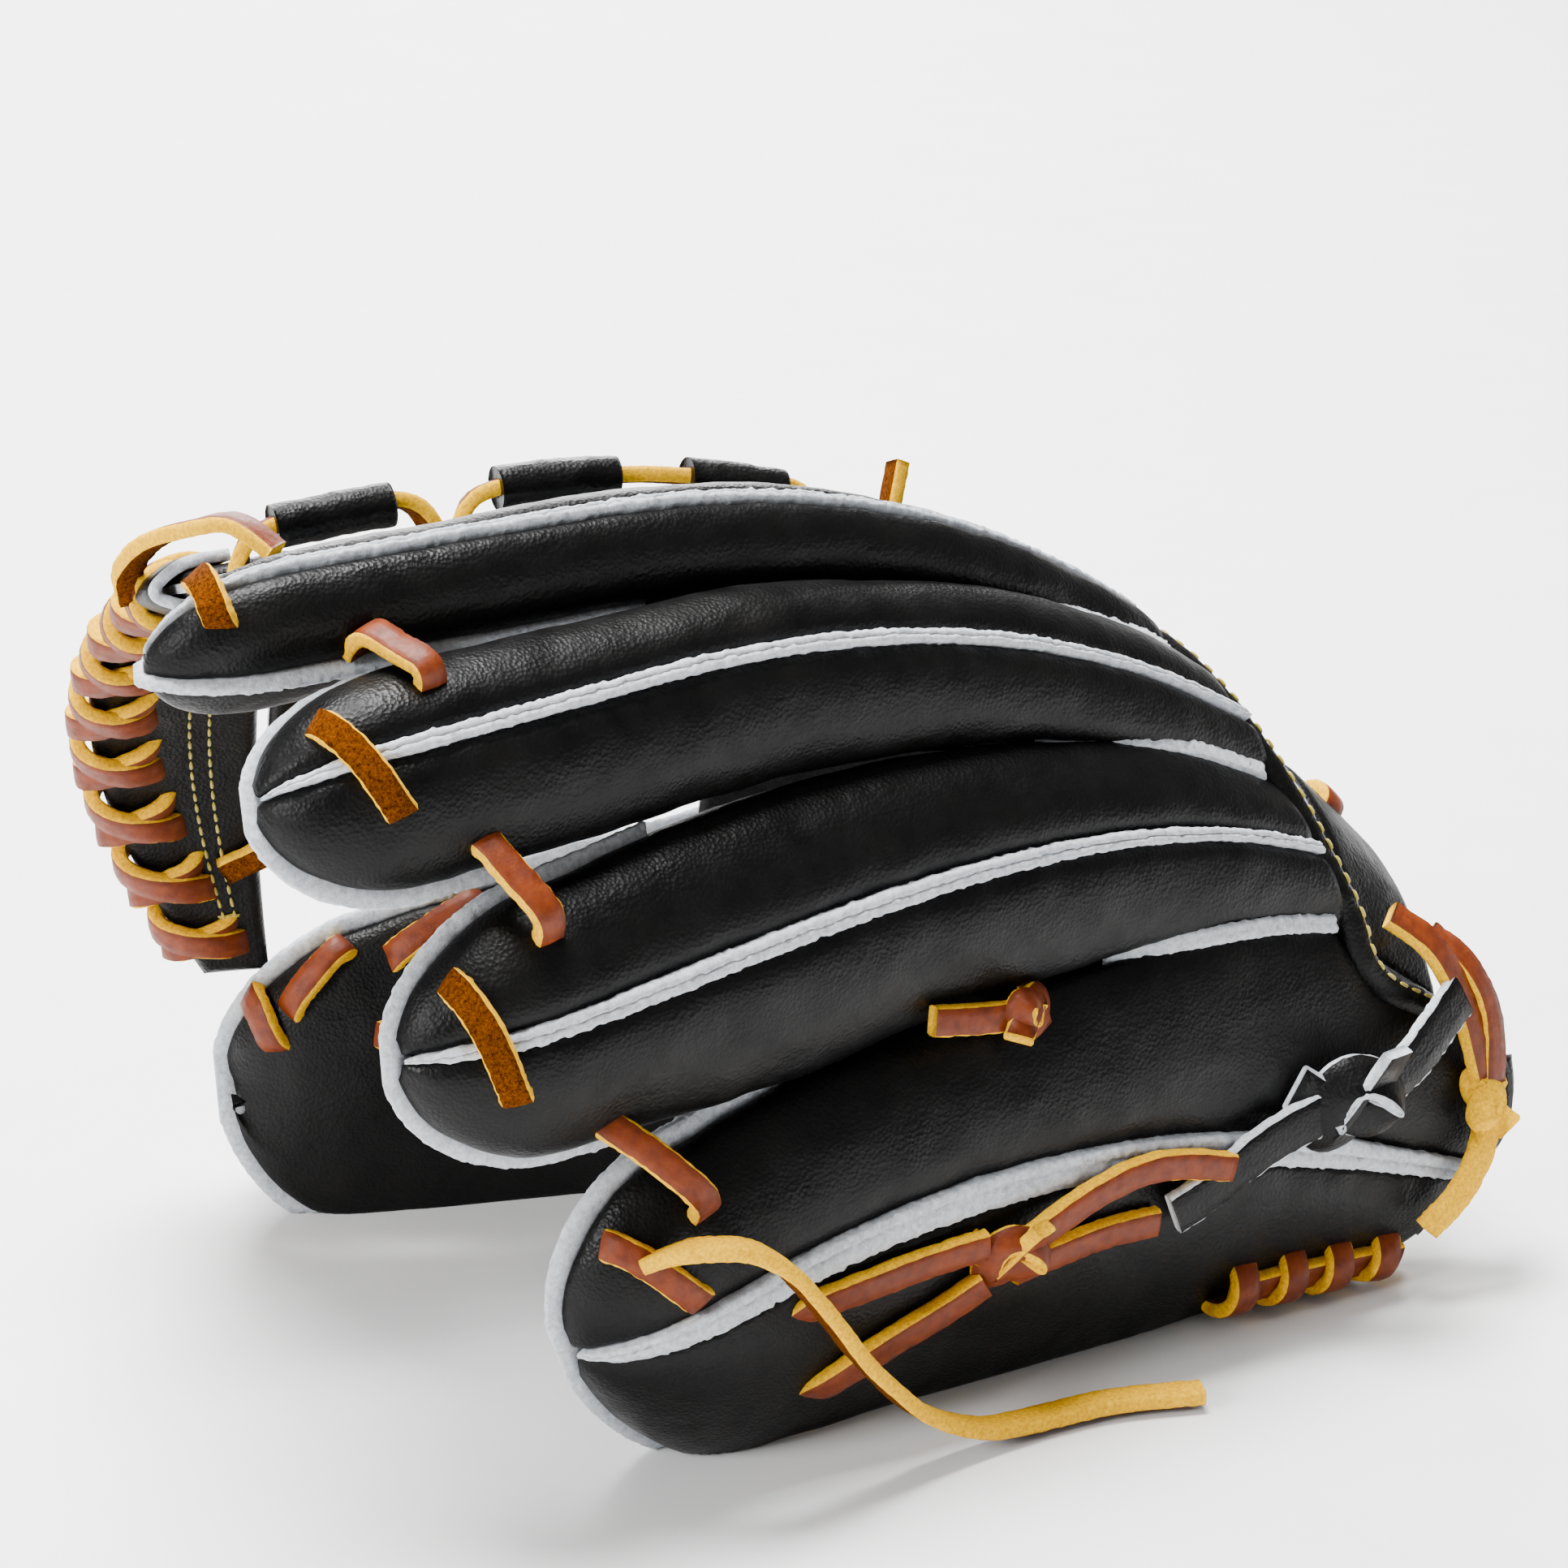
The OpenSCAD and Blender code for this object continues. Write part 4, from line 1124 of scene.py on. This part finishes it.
def tip_lace(k, start, stop):
    stations = laced(start, stop)
    node = f"{NAMES[k]}_tip_lace"
    sides = ROUGH_SIDE_OUT if k != PINKY else ("face", "edge", "suede")
    settle(lace(f"{node}_strip", [finger_run(k, stations)], sides=sides), node)


def bridge_laces():
    runs = [
        [[-92, 70, -12], [-91, 68, -5], [-88, 63, -2], [-85, 58.5, 0.8], [-84, 56, -4]],
        [[-79, 39, -13], [-78, 38, -6], [-75, 34, -2], [-71, 29.5, 0.6], [-69.5, 26.5, -4]],
        [[-60, 9, -13], [-59, 7.5, -6], [-53, 4.5, -2], [-45, 0, 0.6], [-42, -3, -4]],
    ]
    settle(lace("finger_bridge_lace_strips", [arch_run(r) for r in runs]), "finger_bridge_laces")


def knot_at(x, a, h, towards, size, rise):
    """Overhand knot over the arch, drawn out towards another place [x, a]."""
    at = over(x, a, h)
    ahead, up = over(towards[0], towards[1], h) - at, normal(np.array(x), np.array(a))
    return knot_run(at, ahead, up, size, rise)


def pinky_laces():
    runs = [
        arch_run([[-24, -17, -4], [-21, -14.5, 0.5], [-10, -13, 2], [2, -12, 2], [13, -11, 3]]),
        arch_run([[-20, -27, -5], [-17, -24.5, 0], [-5, -20.5, 1.8], [6, -18, 2], [13, -15.5, 3]]),
        knot_at(17.5, -12.5, 4.5, (40, -7), 2.4, 1.1),
        arch_run([[19, -11.5, 5], [35, -7, 4], [50, -4.5, 3.5], [66, -5, 4]]),
        arch_run([[19, -14.5, 3.5], [30, -13.5, 2.6], [40, -12.5, 2.2], [51, -12, 2]]),
    ]
    settle(lace("pinky_loop_lace_strips", runs), "pinky_loop_lace")
    strap = [
        arch_run([[54, -11, 3.2], [62, -8, 3.4], [75, -2, 3.4], [86, 2.6, 4.5]]),
        knot_at(92, 5, 7, (112, 18), 3.6, 1.5),
        arch_run([[97, 7, 7], [106, 13, 6], [114, 21, 5], [121, 29, 4]]),
    ]
    settle(lace("knotted_strap_leather", strap, 9, STRAP_T, STRAP_SIDES), "knotted_strap")
    anchor = [
        arch_run([[31, 13, -12], [28, 12.5, -5], [24, 12.3, -3], [15, 12, -2.5], [5, 12, -3]]),
        knot_at(25, 12.4, -2, (5, 12), 1.7, 0.9),
    ]
    settle(lace("palm_anchor_lace_strip", anchor), "palm_anchor_lace")


def heel_laces():
    whips = (("pinky_heel_lace", -27, -4, 72, 115), ("thumb_heel_lace", 185, -5, 60, 108))
    for node, a, h, x0, x1 in whips:
        centres = [[x, a, h] for x in np.linspace(x0, x1, 5)]
        under = arch_run([[x, a, h + 3.2] for x in np.linspace(x0 + 2, x1 - 2, 5)])
        settle(lace(f"{node}_strip", [winding_run(centres, 4, 0, 4.5, 6), under]), node)
    corner = [
        arch_run([[110, 40, 0], [116, 36, 3.4], [122, 28, 3.4], [127, 15, 2.4]]),
        arch_run([[120, 42, 0], [124, 36, 4], [128, 28, 4], [129, 14, 2.4]]),
    ]
    settle(lace("heel_corner_lace_strips", corner), "heel_corner_laces")
    knot = [
        knot_at(127, 10, 3.6, (124, -4), 1.9, 0.9),
        arch_run([[127, 7, 3.6], [124, -2, 5], [119, -10, 6], [113, -17, 5.5]]),
    ]
    settle(lace("heel_knot_lace_strip", knot, sides=("edge", "edge", "suede")), "heel_knot_lace")


THUMB_WAYS = [
    ((-50, 184), (-40, 246)),
    ((-33, 226), (-5, 199)),
    ((0.01, 250), (0.1, 259)),
    ((0.03, 216), (0.13, 198)),
]


def thumb_laces():
    runs = [finger_run(THUMB, laced(start, stop)) for start, stop in THUMB_WAYS]
    settle(lace("thumb_palm_lace_strips", runs), "thumb_palm_laces")


# The free end of the lace that ties the pinky's tip: it drops to the ground and lies there
TAIL = [
    (-59, -79, 49), (-55, -84, 52.5), (-50, -87, 53.5), (-44, -88, 52.5), (-38, -88, 48.5),
    (-33, -87, 42.5), (-28, -86, 35.5), (-23, -85, 28), (-17, -84, 20.5), (-10, -82, 13),
    (-2, -80, 7.5), (7, -78, 4), (18, -76, 3), (29, -75, 3), (39, -76, 3), (49, -78, 3),
]  # fmt: skip


def lace_tail():
    path = smooth(TAIL, 10)
    ups = np.tile([0.0, 0.0, 1.0], (len(path), 1))
    obj = lace("pinky_lace_tail_strip", [(path, ups)], sides=("edge", "edge", "suede"))
    settle(obj, "pinky_lace_tail")


# ---------- surroundings ----------


def floor_height(y):
    """Ground that curves up far behind the glove."""
    return 0.25 * np.maximum(0, y - 900) ** 2 / 900


def add_floor():
    rows, cols = 25, 61
    x, y = field(-3000, 3000, -2000, 3000, rows, cols)
    points = np.stack([x, y, floor_height(y)], -1)
    obj = build("floor_sheet", points, grid_faces(rows, cols), ("floor",))


def add_light(name, place, size, power):
    data = bpy.data.lights.new(name, "AREA")
    data.shape, data.size, data.energy = "DISK", size, power
    light = bpy.data.objects.new(name, data)
    bpy.context.scene.collection.objects.link(light)
    light.location = place
    light.rotation_mode = "QUATERNION"
    light.rotation_quaternion = (AIM - Vector(place)).to_track_quat("-Z", "Y")


def add_world():
    world = bpy.data.worlds.new("studio")
    bpy.context.scene.world = world
    world.use_nodes = True
    background = world.node_tree.nodes["Background"].inputs
    background["Color"].default_value = (1, 1, 1, 1)
    background["Strength"].default_value = 0.4


def add_lights():
    add_light("top", (-0.2, 0.3, 1.6), 0.8, 115)
    add_light("left", (-1.5, -0.5, 0.8), 0.6, 34)
    add_light("behind", (0.5, 1.6, 0.9), 1.0, 60)


# ---------- everything ----------

add_camera()
MATERIALS = make_materials()
lace_tail()
for k in range(len(FINGERS)):
    finger_back(k)
    centre_welt(k)
    edge_welt(k)
    finger_front(k)
crotch_welts()
for k, node in ((MIDDLE, "palm_felt"), (PINKY, "pinky_felt"), (THUMB, "thumb_felt")):
    felt_pad(k, node)
linings()
heels()
palm_leather()
wrist()
straps()
web()
web_laces()
for k, way in TIP_WAYS.items():
    tip_lace(k, *way)
bridge_laces()
pinky_laces()
heel_laces()
thumb_laces()
add_floor()
add_world()
add_lights()
